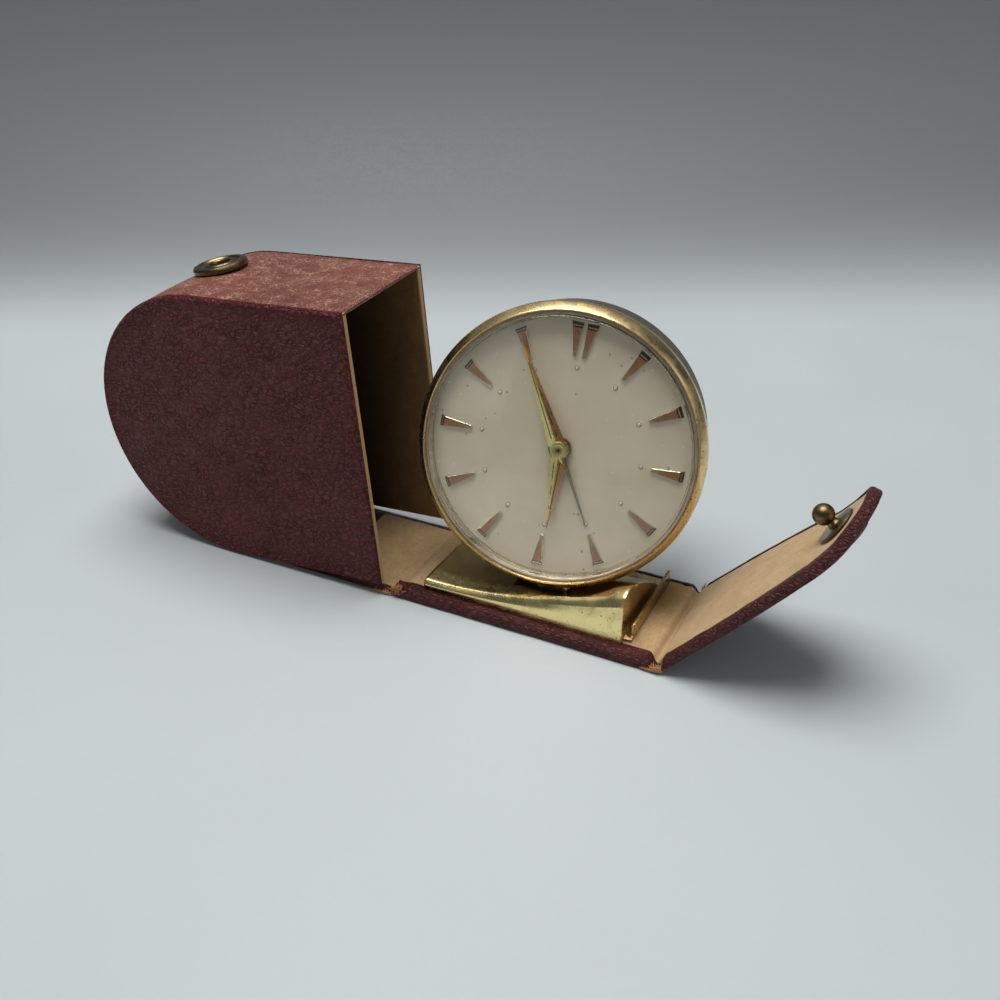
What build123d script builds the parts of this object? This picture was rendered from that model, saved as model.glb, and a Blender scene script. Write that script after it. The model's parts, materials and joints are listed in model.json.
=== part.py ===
from build123d import *
import math
import os

os.makedirs("parts", exist_ok=True)

# Sizes in millimetres and angles in degrees, read from the photo.

# Case base: a board in leather, lined on top.
base_half = 28.4
base_depth = 29.3
base_height = 3.0
leather = 0.9
board_top = 2.3
border = 1.65
edge_round = 0.6
strip_reach = 2.1
fold_gap = 0.3
strip_end = base_half + strip_reach
hinge_x = strip_end + fold_gap
hinge_z = 0.5
half = 0.5

# Flap on the right, lifted as in the photo, with a curved and rounded tip.
flap_angle = 47.0
flap_start = 0.6
flap_outer = -0.45
flap_leather_top = 0.45
flap_board_top = 1.35
flap_inner = 2.05
flap_straight = 38.0
flap_bend = 34.0
flap_bend_angle = 27.0
flap_root_half = base_depth * half
flap_mid = 26.0
flap_mid_half = 13.2
flap_shoulder = 44.0
flap_shoulder_half = 9.6
flap_tip_length = 54.5
flap_tip_half = 5.0
flap_tip_round = 2.6
flap_border = 1.9
flap_over = 5.0
stud_along = 43.5
stud_disc_radius = 4.2
stud_stand = 0.3
stud_disc_height = 0.5
stud_neck_radius = 1.0
stud_neck_height = 1.9
stud_ball_radius = 2.1
stud_ball_height = 3.6
stud_hole_radius = 1.2
stud_cap_radius = 4.6
stud_cap_height = 0.6

# Strap from the base to the cover, loose under the cover's panels.
strap_length = 25.6
strap_rise = 0.0
strap_start = 0.6
strap_margin = 0.35
strap_half = base_depth * half - strap_margin
strap_under = -0.45
strap_top = 0.45
strap_lining_top = 0.85
strap_lining_length = 18.1
strap_lining_half = 12.6

# Cover: a box with an arched end, lying on its side.
cover_gap = 2.0
cover_x = hinge_x + cover_gap
cover_z = 2.66
cover_lean = 3.8
cover_height = 62.8
cover_straight = 38.3
cover_depth = 31.7
panel = 2.1
panel_leather = 0.8
panel_lining = 1.6
wall = 1.3
wall_leather = 0.8
turn_over = 1.6
panel_rim = 1.5
panel_round = 0.7
wall_begin = 25.0
cap_along = 42.5
cap_across = 1.5
cap_radius = 6.0
cap_height = 1.6
cap_flange = 0.5
cap_dish_radius = 4.3
cap_dish_depth = 0.5
cap_ring_radius = 3.3
cap_hole_radius = 2.25
cap_post_radius = 3.0
cap_washer_radius = 4.4
cap_washer_height = 0.4
post_reach = 2.1

# Brass foot: a tray with turned-up ends, a cradle, and the swing arm of the clock.
tray_half = 23.6
tray_front = -11.0
tray_back = 12.0
tray_sheet = 0.6
tray_top = base_height + tray_sheet
lip_right = 6.4
lip_left = 4.9
lip_front = -9.6
cradle_right = 21.9
cradle_left = -22.7
cradle_back = 9.6
cradle_depth = 22.0
cradle_right_rise = 10.6
cradle_middle_rise = 3.8
cradle_left_rise = 2.0
# Each section as shares: how far forward of the back edge, and how high over the tray.
cradle_right_front_shares = [(0.891, 0), (0.95, 0.226), (0.982, 0.509), (0.986, 0.792)]
cradle_right_top_shares = [
    (0.986, 0.792), (0.927, 0.962), (0.809, 1), (0.618, 0.858),
    (0.345, 0.538), (0.118, 0.217), (0, 0),
]
cradle_middle_front_shares = [(0.936, 0), (0.977, 0.263), (0.991, 0.553), (0.982, 0.842)]
cradle_middle_top_shares = [
    (0.982, 0.842), (0.945, 1), (0.827, 1), (0.618, 0.868),
    (0.345, 0.632), (0.118, 0.342), (0, 0),
]
cradle_left_front_shares = [(0.968, 0), (1, 0.2), (1.014, 0.45), (1.005, 0.7)]
cradle_left_top_shares = [
    (1.005, 0.7), (0.964, 0.95), (0.827, 1), (0.618, 0.9),
    (0.345, 0.7), (0.118, 0.4), (0, 0),
]
pocket_left = -4.4
pocket_right = 7.8
pocket_front = -7.6
pocket_back = 13.0
pocket_top = 20.0

# Swing arm and tilt knuckle: the clock swings on the rivet and tips on the pin.
swing_x = 1.0
swing_y = 5.5
swing_angle = 13.5
swing_most = 3.0
tilt_angle = 16.0
roll_angle = 8.0
pin_y = -3.8
pin_z = 6.0
pin_radius = 0.6
pin_half = 3.6
pin_run = 0.65
arm_under = 3.62
arm_top = 4.3
arm_half = 4.4
ear_inner = 2.1
ear_outer = 3.1
ear_radius = 1.4
ear_front = 1.4
rivet_radius = 1.5
rivet_run = 1.55
rivet_head_radius = 2.6
rivet_head_under = 4.32
rivet_head_top = 4.72
rivet_foot_radius = 2.6
rivet_foot_under = 0.9
rivet_foot_top = 1.3
pin_drop = 30.8
pin_behind = 3.2
lug_half = 2.0
lug_radius = 1.4
lug_flange_thick = 0.6

# Clock case, measured from the dial's face, forward positive.
drum_radius = 28.5
drum_wall = 0.8
drum_front = 1.2
drum_back = -17.0
shelf_front = -4.6
shelf_back = -5.4
shelf_inner = 26.2
rear_shelf_front = -15.4
cover_inner_face = -16.2
bezel_outer = 29.5
bezel_front = 3.1
bezel_back = -1.5
bezel_chamfer = 0.3
bezel_side_front = 1.2
bezel_bead_radius = 29.1
bezel_bead_front = 2.4
bezel_crown_radius = 28.3
bezel_lip_radius = 27.6
bezel_lip_front = 2.9
bezel_opening = 27.0
bezel_opening_front = 2.2
crystal_radius = 27.6
crystal_play = 0.1
crystal_seat = 0.9
crystal_step = 1.9
crystal_outer_radius = 26.95
crystal_outer_apex = 5.0
crystal_outer_wall = 3.0
crystal_inner_wall = 2.3
crystal_inner_radius = 26.3
crystal_inner_apex = 4.2
ring_inner_radius = 26.4
ring_outer_radius = 27.6
ring_front_radius = 26.7
dial_radius = 27.6
dial_sheet = 0.5
dial_hole = 1.95
marker_outer = 25.4
marker_inner = 18.6
marker_wide = 1.2
marker_narrow = 0.45
marker_height = 0.6
marker_pair_near = 0.9
marker_pair_far = 1.55
dot_radius = 0.38
dot_ring = 16.6
dot_height = 0.25
clear = 0.35

# Hands.
minute_length = 24.1
minute_half = 1.7
minute_shoulder = 1.4
minute_tail = 3.1
minute_under = 2.0
minute_top = 2.3
hour_length = 17.1
hour_half = 1.7
hour_shoulder = 3.2
hour_tail = 2.4
hour_under = 1.25
hour_top = 1.55
minute_hand_hub = 1.6
hour_hand_hub = 1.95
alarm_length = 16.4
alarm_half = 0.45
alarm_tip_half = 0.15
alarm_under = 0.6
alarm_top = 0.85
alarm_hub = 2.4
minute_angle = 330.0
hour_angle = 177.5
alarm_angle = 150.0
cannon_hole = 0.6
cannon_tube = 1.0
cannon_cap_radius = 1.7
cannon_cap_top = 3.0
hour_hole = 1.05
hour_tube = 1.35
hour_tube_top = 1.55
alarm_hole = 1.4
alarm_tube = 1.8
alarm_tube_top = 0.85

# Motion work under the dial.
motion_module = 0.35
cannon_teeth = 12
minute_teeth = 36
minute_pinion_teeth = 10
hour_teeth = 40
hour_module = 0.338
set_teeth = 12
motion_reach = 8.45
minute_bearing = 176.4
set_bearing = 138.8
low_under = -3.6
low_top = -3.1
high_under = -2.8
high_top = -2.3
minute_hub = 1.2
minute_hub_hole = 0.55
minute_post = 0.5
minute_post_top = -2.25
alarm_teeth = 60
alarm_pinion_teeth = 12
alarm_reach = 12.65
alarm_bearing = 270.0
alarm_wheel_under = -1.9
alarm_wheel_top = -1.5
tooth_rise = 0.75
tooth_fall = 1.15
tooth_root_share = 0.27
tooth_tip_share = 0.13
turn = 360.0

# Movement between its plates.
movement_ring_inner = 25.4
plate_radius = 27.4
front_plate_top = -3.8
front_plate_under = -4.6
rear_plate_radius = 25.0
rear_plate_top = -12.4
rear_plate_under = -13.2
pillar_ring = 22.6
pillar_radius = 1.2
pillar_bearings = [5.0, 90.0, 140.0, 250.0, 290.0]
arbor_radius = 0.45
shaft_radius = 0.9
shaft_run = 0.98
key_shaft = 1.0
key_run = 1.08
train_module = 0.3
third_module = 0.25
fourth_module = 0.2
barrel_module = 0.4
centre_teeth = 64
centre_pinion_teeth = 10
barrel_teeth = 54
barrel_reach = 12.94
barrel_bearing = 29.1
third_pinion_teeth = 8
third_teeth = 60
fourth_pinion_teeth = 8
fourth_teeth = 60
escape_pinion_teeth = 6
escape_teeth = 15
escape_wheel_module = 0.4
third_reach = 10.86
third_bearing = 125.0
fourth_reach = 8.56
fourth_bearing = 20.0
escape_reach = 6.66
escape_bearing = 10.0
centre_arbor_radius = 0.5
centre_arbor_top = 2.8
centre_wheel_under = -6.4
centre_wheel_top = -5.9
centre_pinion_under = -11.3
centre_pinion_top = -7.6
third_pinion_under = -6.6
third_pinion_top = -5.6
third_wheel_under = -5.5
third_wheel_top = -5.1
fourth_pinion_under = -5.7
fourth_pinion_top = -4.9
fourth_wheel_under = -7.6
fourth_wheel_top = -7.2
escape_pinion_under = -7.9
escape_pinion_top = -6.9
escape_wheel_under = -10.4
escape_wheel_top = -10.0
pallet_x = 11.7
pallet_y = 15.6
pallet_place = (pallet_x, pallet_y)
pallet_hub = 0.9
pallet_arm = 2.2
pallet_arm_half = 0.4
pallet_turn = 225.0
balance_x = 15.5
balance_y = 9.5
balance_place = (balance_x, balance_y)
balance_outer = 5.4
balance_inner = 4.6
balance_hub = 1.0
balance_spoke_half = 0.35
balance_under = -11.4
balance_top = -10.8
spring_under = -10.3
spring_top = -9.8
spring_first = 1.1
spring_step = 0.42
spring_turns = 6
spring_half_width = 0.06
barrel_under = -11.6
barrel_top = -7.4
barrel_body = 10.3
barrel_cavity = 9.7
barrel_floor = -11.2
barrel_lid = -7.8
barrel_hub = 2.2
ring_gear_under = -9.2
ring_gear_top = -8.2
alarm_barrel_radius = 9.5
alarm_barrel_cavity = 8.9
hammer_x = -2.0
hammer_y = -19.4
hammer_place = (hammer_x, hammer_y)
hammer_hub = 1.1
hammer_reach = 6.0
hammer_bearing = 330.0
hammer_head = 1.5
hammer_arm_half = 0.5
hammer_under = -11.0
hammer_top = -9.6
hammer_arm_top = -10.2

# Back cover and its controls.
back_radius = 27.65
knob_radius = 2.9
knob_front = -17.2
knob_back = -19.4
knob_teeth = 24
knob_groove = 0.18
key_stem = 2.0
key_front = -17.2
key_stem_back = -18.6
key_wing_half = 5.6
key_wing_thick = 0.55
key_wing_front = -17.6
key_back = -20.4
key_wing_edge = 0.5
key_time_turn = 25.0
key_alarm_turn = -20.0
ratchet_module = 0.4
ratchet_teeth = 20
ratchet_under = -14.1
ratchet_top = -13.4
arbor_front = -4.0
button_x = 0.0
button_y = 17.0
button_place = (button_x, button_y)
button_radius = 1.3
button_run = 1.38
button_front = -14.7
button_back = -19.3
button_collar = 2.0
button_collar_front = -15.6
button_collar_back = -16.1
lever_x = 15.5
lever_y = 9.5
lever_place = (lever_x, lever_y)
lever_post = 0.8
lever_post_run = 0.86
lever_post_front = -14.2
lever_hub = 1.6
lever_front = -17.05
lever_back = -17.5
lever_length = 6.4
lever_bearing = 120.0
lever_half = 0.55
lever_pad = 0.9
cap_share = 0.45


def turned(angle):
    return math.cos(math.radians(angle)), math.sin(math.radians(angle))


def polar(radius, bearing):
    x, y = turned(bearing)
    return radius * x, radius * y


# Frames. The clock leans back on the pin, the arm is swung, and the face is rolled.
swing_cos, swing_sin = turned(swing_angle)
tilt_cos, tilt_sin = turned(tilt_angle)
roll_cos, roll_sin = turned(roll_angle)


def swung(x, y, z, angle=swing_angle):
    # A point of the arm, given with the arm straight, after its swing about the rivet.
    c, s = turned(angle)
    across, along = x - swing_x, y - swing_y
    return Vector(swing_x + c * across - s * along, swing_y + s * across + c * along, z)


def clock_frame(angle, lean):
    c, s = turned(angle)
    lc, ls = turned(lean)
    side = Vector(c, s, 0)
    up = Vector(-s * ls, c * ls, lc)
    front = side.cross(up)
    pin = swung(swing_x, pin_y, pin_z, angle)
    origin = pin + up * pin_drop + front * pin_behind
    return Plane(origin=origin, x_dir=side, z_dir=front)


body_plane = clock_frame(swing_angle, tilt_angle)
rolled_x = body_plane.x_dir * roll_cos - body_plane.y_dir * roll_sin
face_plane = Plane(origin=body_plane.origin, x_dir=rolled_x, z_dir=body_plane.z_dir)
arm_plane = Plane(origin=(swing_x, swing_y, 0), x_dir=(swing_cos, swing_sin, 0), z_dir=(0, 0, 1))
flap_cos, flap_sin = turned(flap_angle)
flap_plane = Plane(
    origin=(hinge_x, 0, hinge_z), x_dir=(flap_cos, 0, flap_sin), z_dir=(-flap_sin, 0, flap_cos)
)
flap_side = Plane(origin=flap_plane.origin, x_dir=flap_plane.x_dir, z_dir=(0, -1, 0))
rise_cos, rise_sin = turned(strap_rise)
strap_plane = Plane(
    origin=(-hinge_x, 0, hinge_z), x_dir=(-rise_cos, 0, rise_sin), z_dir=(0, 1, 0)
)
lean_cos, lean_sin = turned(cover_lean)
cover_plane = Plane(
    origin=(-cover_x, 0, cover_z), x_dir=(-lean_cos, 0, -lean_sin), z_dir=(0, 1, 0)
)


def face(height):
    return face_plane.offset(height)


def spun(plane, angle):
    c, s = turned(angle)
    return Plane(origin=plane.origin, x_dir=plane.x_dir * c + plane.y_dir * s, z_dir=plane.z_dir)


def face_at(place, height, angle=0):
    origin = face_plane.from_local_coords((place[0], place[1], height))
    moved = Plane(origin=origin, x_dir=face_plane.x_dir, z_dir=face_plane.z_dir)
    return spun(moved, angle)


def block(plane, low, high):
    # A rectangle from one corner to the other on a plane, as a sketch.
    width, depth = high[0] - low[0], high[1] - low[1]
    with BuildSketch(plane) as area:
        with Locations(((low[0] + high[0]) * half, (low[1] + high[1]) * half)):
            Rectangle(width, depth)
    return area.sketch


def disc(height, radius, top, at=(0, 0), hole=0, mode=Mode.ADD):
    # A round plate of the clock between two heights, with or without a hole.
    with BuildSketch(face(height)) as area:
        with Locations(at):
            Circle(radius)
            if hole:
                Circle(hole, mode=Mode.SUBTRACT)
    extrude(area.sketch, amount=top - height, mode=mode)


def drill(height, top, holes):
    for at, radius in holes:
        disc(height, radius, top, at, 0, Mode.SUBTRACT)


def tooth_points(module, count, phase):
    pitch_radius = module * count * half
    tip, root = pitch_radius + module * tooth_rise, pitch_radius - module * tooth_fall
    pitch = turn / count
    points = []
    for k in range(count):
        middle = phase + k * pitch
        points.append(polar(root, middle - tooth_root_share * pitch))
        points.append(polar(tip, middle - tooth_tip_share * pitch))
        points.append(polar(tip, middle + tooth_tip_share * pitch))
        points.append(polar(root, middle + tooth_root_share * pitch))
    return points


def gear(height, top, module, count, phase, at=(0, 0), hole=0):
    points = [(x + at[0], y + at[1]) for x, y in tooth_points(module, count, phase)]
    with BuildSketch(face(height)) as area:
        with BuildLine():
            Polyline(*points, close=True)
        make_face()
        if hole:
            with Locations(at):
                Circle(hole, mode=Mode.SUBTRACT)
    extrude(area.sketch, amount=top - height)


def partner_phase(phase, count, bearing, other):
    # The turn of a second gear at a bearing, so that its gaps meet the first gear's teeth.
    share = (bearing - phase) * count / turn
    return bearing + half * turn - (half - share) * turn / other


# Places on the face, from the bearing and the reach of each pair.
minute_place = polar(motion_reach, minute_bearing)
set_step = polar(motion_reach, set_bearing)
set_place = (minute_place[0] + set_step[0], minute_place[1] + set_step[1])
alarm_place = polar(alarm_reach, alarm_bearing)
time_place = polar(barrel_reach, half * turn + barrel_bearing)
ring_place = polar(barrel_reach, turn - barrel_bearing)
third_place = polar(third_reach, third_bearing)
fourth_step = polar(fourth_reach, fourth_bearing)
fourth_place = (third_place[0] + fourth_step[0], third_place[1] + fourth_step[1])
escape_step = polar(escape_reach, escape_bearing)
escape_place = (fourth_place[0] + escape_step[0], fourth_place[1] + escape_step[1])
arbor_places = [third_place, fourth_place, escape_place, pallet_place, balance_place, hammer_place]

# Case base: leather turned up over the board along both long edges.
edge_half = base_depth * half
pocket_half = edge_half - border

with BuildPart() as base_leather:
    extrude(block(Plane.XY, (-base_half, -edge_half), (base_half, edge_half)), amount=base_height)
    extrude(block(Plane.XY, (-strip_end, -edge_half), (strip_end, edge_half)), amount=leather)
    hollow = block(Plane.XY.offset(leather), (-base_half, -pocket_half), (base_half, pocket_half))
    extrude(hollow, amount=base_height, mode=Mode.SUBTRACT)
    long_edges = base_leather.edges().filter_by(Axis.X)
    outer_edges = [e for e in long_edges if abs(e.center().Y) > pocket_half + border * half]
    top_edges = [e for e in outer_edges if e.center().Z > board_top]
    fillet(top_edges, edge_round)
base_leather.part.label = "base_leather"
export_step(base_leather.part, "parts/base_leather.step")

with BuildPart() as base_board:
    extrude(hollow, amount=board_top - leather)
    with BuildSketch(Plane.XY.offset(leather)):
        with Locations((swing_x, swing_y)):
            Circle(rivet_foot_radius)
    extrude(amount=rivet_foot_top - leather, mode=Mode.SUBTRACT)
    with BuildSketch(Plane.XY.offset(leather)):
        with Locations((swing_x, swing_y)):
            Circle(rivet_radius)
    extrude(amount=board_top, mode=Mode.SUBTRACT)
base_board.part.label = "base_board"
export_step(base_board.part, "parts/base_board.step")

with BuildPart() as base_lining:
    inlay = block(Plane.XY.offset(board_top), (-base_half, -pocket_half), (base_half, pocket_half))
    extrude(inlay, amount=base_height - board_top)
    with BuildSketch(Plane.XY.offset(board_top)):
        with Locations((swing_x, swing_y)):
            Circle(rivet_radius)
    extrude(amount=base_height, mode=Mode.SUBTRACT)
base_lining.part.label = "base_lining"
export_step(base_lining.part, "parts/base_lining.step")


def flap_outline(inset):
    # Half shape mirrored: straight root, tapering shoulder, rounded tip.
    right = [
        (flap_mid, flap_mid_half - inset),
        (flap_shoulder, flap_shoulder_half - inset),
        (flap_tip_length - flap_tip_round - inset, flap_tip_half - inset * half),
    ]
    left = [(x, -y) for x, y in reversed(right)]
    start = flap_start
    root = flap_root_half - inset
    with BuildSketch(flap_plane.offset(-flap_over)) as area:
        with BuildLine():
            Polyline((start, -root), (start, root))
            Spline((start, root), *right)
            ThreePointArc(right[-1], (flap_tip_length - inset, 0), left[0])
            Spline(*left, (start, -root))
        make_face()
    extrude(area.sketch, amount=flap_bend * half + flap_over)


def flap_layer(low, high, inset):
    # A sheet along the flap's side line, cut to the outline.
    c, s = turned(flap_bend_angle)
    reach = flap_root_half + flap_over

    def on_bend(level, share_cos, share_sin):
        return (
            flap_straight + (flap_bend - level) * share_sin,
            flap_bend - (flap_bend - level) * share_cos,
        )

    mc, ms = turned(flap_bend_angle * half)
    flap_outline(inset)
    with BuildSketch(flap_side.offset(-reach)) as side:
        with BuildLine():
            Line((flap_start, low), (flap_straight, low))
            ThreePointArc((flap_straight, low), on_bend(low, mc, ms), on_bend(low, c, s))
            Line(on_bend(low, c, s), on_bend(high, c, s))
            ThreePointArc(on_bend(high, c, s), on_bend(high, mc, ms), (flap_straight, high))
            Line((flap_straight, high), (flap_start, high))
            Line((flap_start, high), (flap_start, low))
        make_face()
    extrude(side.sketch, amount=reach + reach, mode=Mode.INTERSECT)


def stud_hole():
    with BuildSketch(flap_tangent.offset(-flap_over)) as hole:
        Circle(stud_hole_radius)
    extrude(hole.sketch, amount=flap_over + flap_over, mode=Mode.SUBTRACT)


# The stud stands square to the curved tip, at its place along the bend.
stud_bend = math.degrees((stud_along - flap_straight) / flap_bend)
stud_cos, stud_sin = turned(stud_bend)
stud_x = flap_straight + (flap_bend - flap_inner) * stud_sin
stud_y = flap_bend - (flap_bend - flap_inner) * stud_cos
flap_tangent = Plane(
    origin=flap_plane.from_local_coords((stud_x, 0, stud_y)),
    x_dir=flap_plane.x_dir * stud_cos + flap_plane.z_dir * stud_sin,
    z_dir=flap_plane.z_dir * stud_cos - flap_plane.x_dir * stud_sin,
)

with BuildPart() as flap_core:
    flap_layer(flap_leather_top, flap_inner + flap_over, flap_border)

with BuildPart() as flap_leather:
    flap_layer(flap_outer, flap_inner, 0)
    add(flap_core.part, mode=Mode.SUBTRACT)
    stud_hole()
flap_leather.part.label = "flap_leather"
export_step(flap_leather.part, "parts/flap_leather.step")

with BuildPart() as flap_board:
    flap_layer(flap_leather_top, flap_board_top, flap_border)
    stud_hole()
flap_board.part.label = "flap_board"
export_step(flap_board.part, "parts/flap_board.step")

with BuildPart() as flap_lining:
    flap_layer(flap_board_top, flap_inner, flap_border)
    stud_hole()
flap_lining.part.label = "flap_lining"
export_step(flap_lining.part, "parts/flap_lining.step")

# Ball stud through the flap, closed by a cap on the outside.
stud_lift = flap_inner - flap_outer
with BuildPart() as snap_stud:
    with BuildSketch(flap_tangent.offset(stud_stand)):
        Circle(stud_disc_radius)
    extrude(amount=stud_disc_height)
    fillet(snap_stud.faces().sort_by(SortBy.AREA)[-1].edges(), stud_disc_height * cap_share)
    with BuildSketch(flap_tangent.offset(-stud_lift - edge_round)):
        Circle(stud_neck_radius)
    extrude(amount=stud_lift + edge_round + stud_neck_height)
    with Locations(flap_tangent.offset(stud_ball_height)):
        Sphere(stud_ball_radius)
snap_stud.part.label = "snap_stud"
export_step(snap_stud.part, "parts/snap_stud.step")

with BuildPart() as snap_stud_cap:
    with BuildSketch(flap_tangent.offset(-stud_lift - edge_round)):
        Circle(stud_cap_radius)
        Circle(stud_neck_radius, mode=Mode.SUBTRACT)
    extrude(amount=stud_cap_height)
snap_stud_cap.part.label = "snap_stud_cap"
export_step(snap_stud_cap.part, "parts/snap_stud_cap.step")

# Strap between the base and the cover.
with BuildPart() as strap_leather:
    strap_corners = (strap_start, strap_under), (strap_length, strap_top)
    strap_area = block(strap_plane.offset(-strap_half), *strap_corners)
    extrude(strap_area, amount=strap_half + strap_half)
strap_leather.part.label = "strap_leather"
export_step(strap_leather.part, "parts/strap_leather.step")

with BuildPart() as strap_lining:
    strap_low = (strap_start, strap_top)
    strap_high = (strap_lining_length, strap_lining_top)
    strap_area = block(strap_plane.offset(-strap_lining_half), strap_low, strap_high)
    extrude(strap_area, amount=strap_lining_half + strap_lining_half)
strap_lining.part.label = "strap_lining"
export_step(strap_lining.part, "parts/strap_lining.step")


# Cover: two arched panels joined by a wall that bends round the arch.
def arch(inset, start=0, stop=None):
    # The outline of the cover, moved in by an inset, from the opening to the arch.
    low, high = inset, cover_height - inset
    middle = cover_height * half
    top = cover_straight + middle - inset
    with BuildSketch(cover_plane) as area:
        with BuildLine():
            Polyline((cover_straight, high), (start, high), (start, low), (cover_straight, low))
            ThreePointArc((cover_straight, low), (top, middle), (cover_straight, high))
        make_face()
    return area.sketch


def between(shape, near, far, mode=Mode.ADD):
    # A sketch of the cover made solid between two depths.
    moved = shape.moved(Location((0, near, 0)))
    extrude(moved, amount=far - near, dir=(0, 1, 0), mode=mode)


cover_half = cover_depth * half
inner_half = cover_half - panel

# Each panel: leather turned round the rim, then board, then lining.
def panel_parts(outer, inner):
    step = (outer - inner) / panel
    with BuildPart() as shell:
        between(arch(0), outer, inner)
        between(arch(panel_rim, panel_rim), outer - step * panel_leather, inner, Mode.SUBTRACT)
        rim = [e for e in shell.edges() if abs(e.center().Y - outer) < panel_round * half]
        fillet(rim, panel_round)
    with BuildPart() as stiff:
        between(arch(panel_rim, panel_rim), outer - step * panel_leather, outer - step * panel_lining)
    with BuildPart() as soft:
        between(arch(panel_rim, panel_rim), outer - step * panel_lining, inner)
    return shell.part, stiff.part, soft.part


front_shell, front_stiff, front_soft = panel_parts(-cover_half, -inner_half)
with BuildPart() as cover_front_leather:
    add(front_shell)
cover_front_leather.part.label = "cover_front_leather"
export_step(cover_front_leather.part, "parts/cover_front_leather.step")
with BuildPart() as cover_front_board:
    add(front_stiff)
cover_front_board.part.label = "cover_front_board"
export_step(cover_front_board.part, "parts/cover_front_board.step")
with BuildPart() as cover_front_lining:
    add(front_soft)
cover_front_lining.part.label = "cover_front_lining"
export_step(cover_front_lining.part, "parts/cover_front_lining.step")

back_shell, back_stiff, back_soft = panel_parts(cover_half, inner_half)
with BuildPart() as cover_back_leather:
    add(back_shell)
cover_back_leather.part.label = "cover_back_leather"
export_step(cover_back_leather.part, "parts/cover_back_leather.step")
with BuildPart() as cover_back_board:
    add(back_stiff)
cover_back_board.part.label = "cover_back_board"
export_step(cover_back_board.part, "parts/cover_back_board.step")
with BuildPart() as cover_back_lining:
    add(back_soft)
cover_back_lining.part.label = "cover_back_lining"
export_step(cover_back_lining.part, "parts/cover_back_lining.step")

# Snap socket, set into the wall near the start of the arch.
arch_radius = cover_height * half
cap_bend = math.degrees(max(cap_along - cover_straight, 0) / arch_radius)
cap_cos, cap_sin = turned(cap_bend)
cap_local = (
    min(cap_along, cover_straight) + arch_radius * cap_sin,
    arch_radius + arch_radius * cap_cos, cap_across,
)
cap_plane = Plane(
    origin=cover_plane.from_local_coords(cap_local),
    x_dir=cover_plane.x_dir * cap_cos - cover_plane.y_dir * cap_sin,
    z_dir=cover_plane.y_dir * cap_cos + cover_plane.x_dir * cap_sin,
)


def post_hole():
    with BuildSketch(cap_plane.offset(-flap_over)) as hole:
        Circle(cap_post_radius)
    extrude(hole.sketch, amount=flap_over + flap_over, mode=Mode.SUBTRACT)


with BuildPart() as cover_wall_leather:
    between(arch(0), -inner_half, inner_half)
    between(arch(wall_leather, turn_over), -inner_half, inner_half, Mode.SUBTRACT)
    between(arch(wall, -flap_over), -inner_half, inner_half, Mode.SUBTRACT)
    free_side = block(cover_plane.offset(-cover_half), (-wall, -wall), (wall_begin, wall + wall))
    extrude(free_side, amount=cover_depth, mode=Mode.SUBTRACT)
    post_hole()
cover_wall_leather.part.label = "cover_wall_leather"
export_step(cover_wall_leather.part, "parts/cover_wall_leather.step")

with BuildPart() as cover_wall_lining:
    between(arch(wall_leather, turn_over), -inner_half, inner_half)
    between(arch(wall, -flap_over), -inner_half, inner_half, Mode.SUBTRACT)
    extrude(free_side, amount=cover_depth, mode=Mode.SUBTRACT)
    post_hole()
cover_wall_lining.part.label = "cover_wall_lining"
export_step(cover_wall_lining.part, "parts/cover_wall_lining.step")

with BuildPart() as snap_socket:
    with BuildSketch(cap_plane.offset(-post_reach)):
        Circle(cap_post_radius)
    extrude(amount=post_reach + cap_flange)
    with BuildSketch(cap_plane):
        Circle(cap_radius)
    extrude(amount=cap_height)
    fillet(snap_socket.faces().filter_by(GeomType.PLANE).sort_by(SortBy.AREA)[-1].edges(), cap_flange)
    with BuildSketch(cap_plane.offset(cap_height - cap_dish_depth)):
        Circle(cap_dish_radius)
        Circle(cap_ring_radius, mode=Mode.SUBTRACT)
    extrude(amount=cap_height, mode=Mode.SUBTRACT)
    with BuildSketch(cap_plane.offset(-post_reach)):
        Circle(cap_hole_radius)
    extrude(amount=post_reach + cap_height, mode=Mode.SUBTRACT)
snap_socket.part.label = "snap_socket"
export_step(snap_socket.part, "parts/snap_socket.step")

with BuildPart() as snap_washer:
    with BuildSketch(cap_plane.offset(-post_reach)):
        Circle(cap_washer_radius)
        Circle(cap_post_radius, mode=Mode.SUBTRACT)
    extrude(amount=cap_washer_height)
snap_washer.part.label = "snap_washer"
export_step(snap_washer.part, "parts/snap_washer.step")


# The room the clock needs over the foot, at the ends of its swing and tilt.
def clock_room(angle, lean):
    frame = clock_frame(angle, lean)
    for radius, low, high in (
        (bezel_outer, bezel_back, bezel_front), (drum_radius, drum_back, bezel_back)
    ):
        with BuildSketch(frame.offset(low - clear)) as ring:
            Circle(radius + clear)
        extrude(ring.sketch, amount=high - low + clear + clear, mode=Mode.SUBTRACT)


def section(place, rise, front_shares, top_shares):
    # One cross-section of the cradle: curved front, curved top and a flat underside.
    front = [(cradle_back - y * cradle_depth, tray_top + z * rise) for y, z in front_shares]
    top = [(cradle_back - y * cradle_depth, tray_top + z * rise) for y, z in top_shares]
    with BuildSketch(Plane.YZ.offset(place)) as area:
        with BuildLine():
            Spline(*front)
            Spline(*top)
            Line(top[-1], front[0])
        make_face()
    return area.sketch


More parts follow.
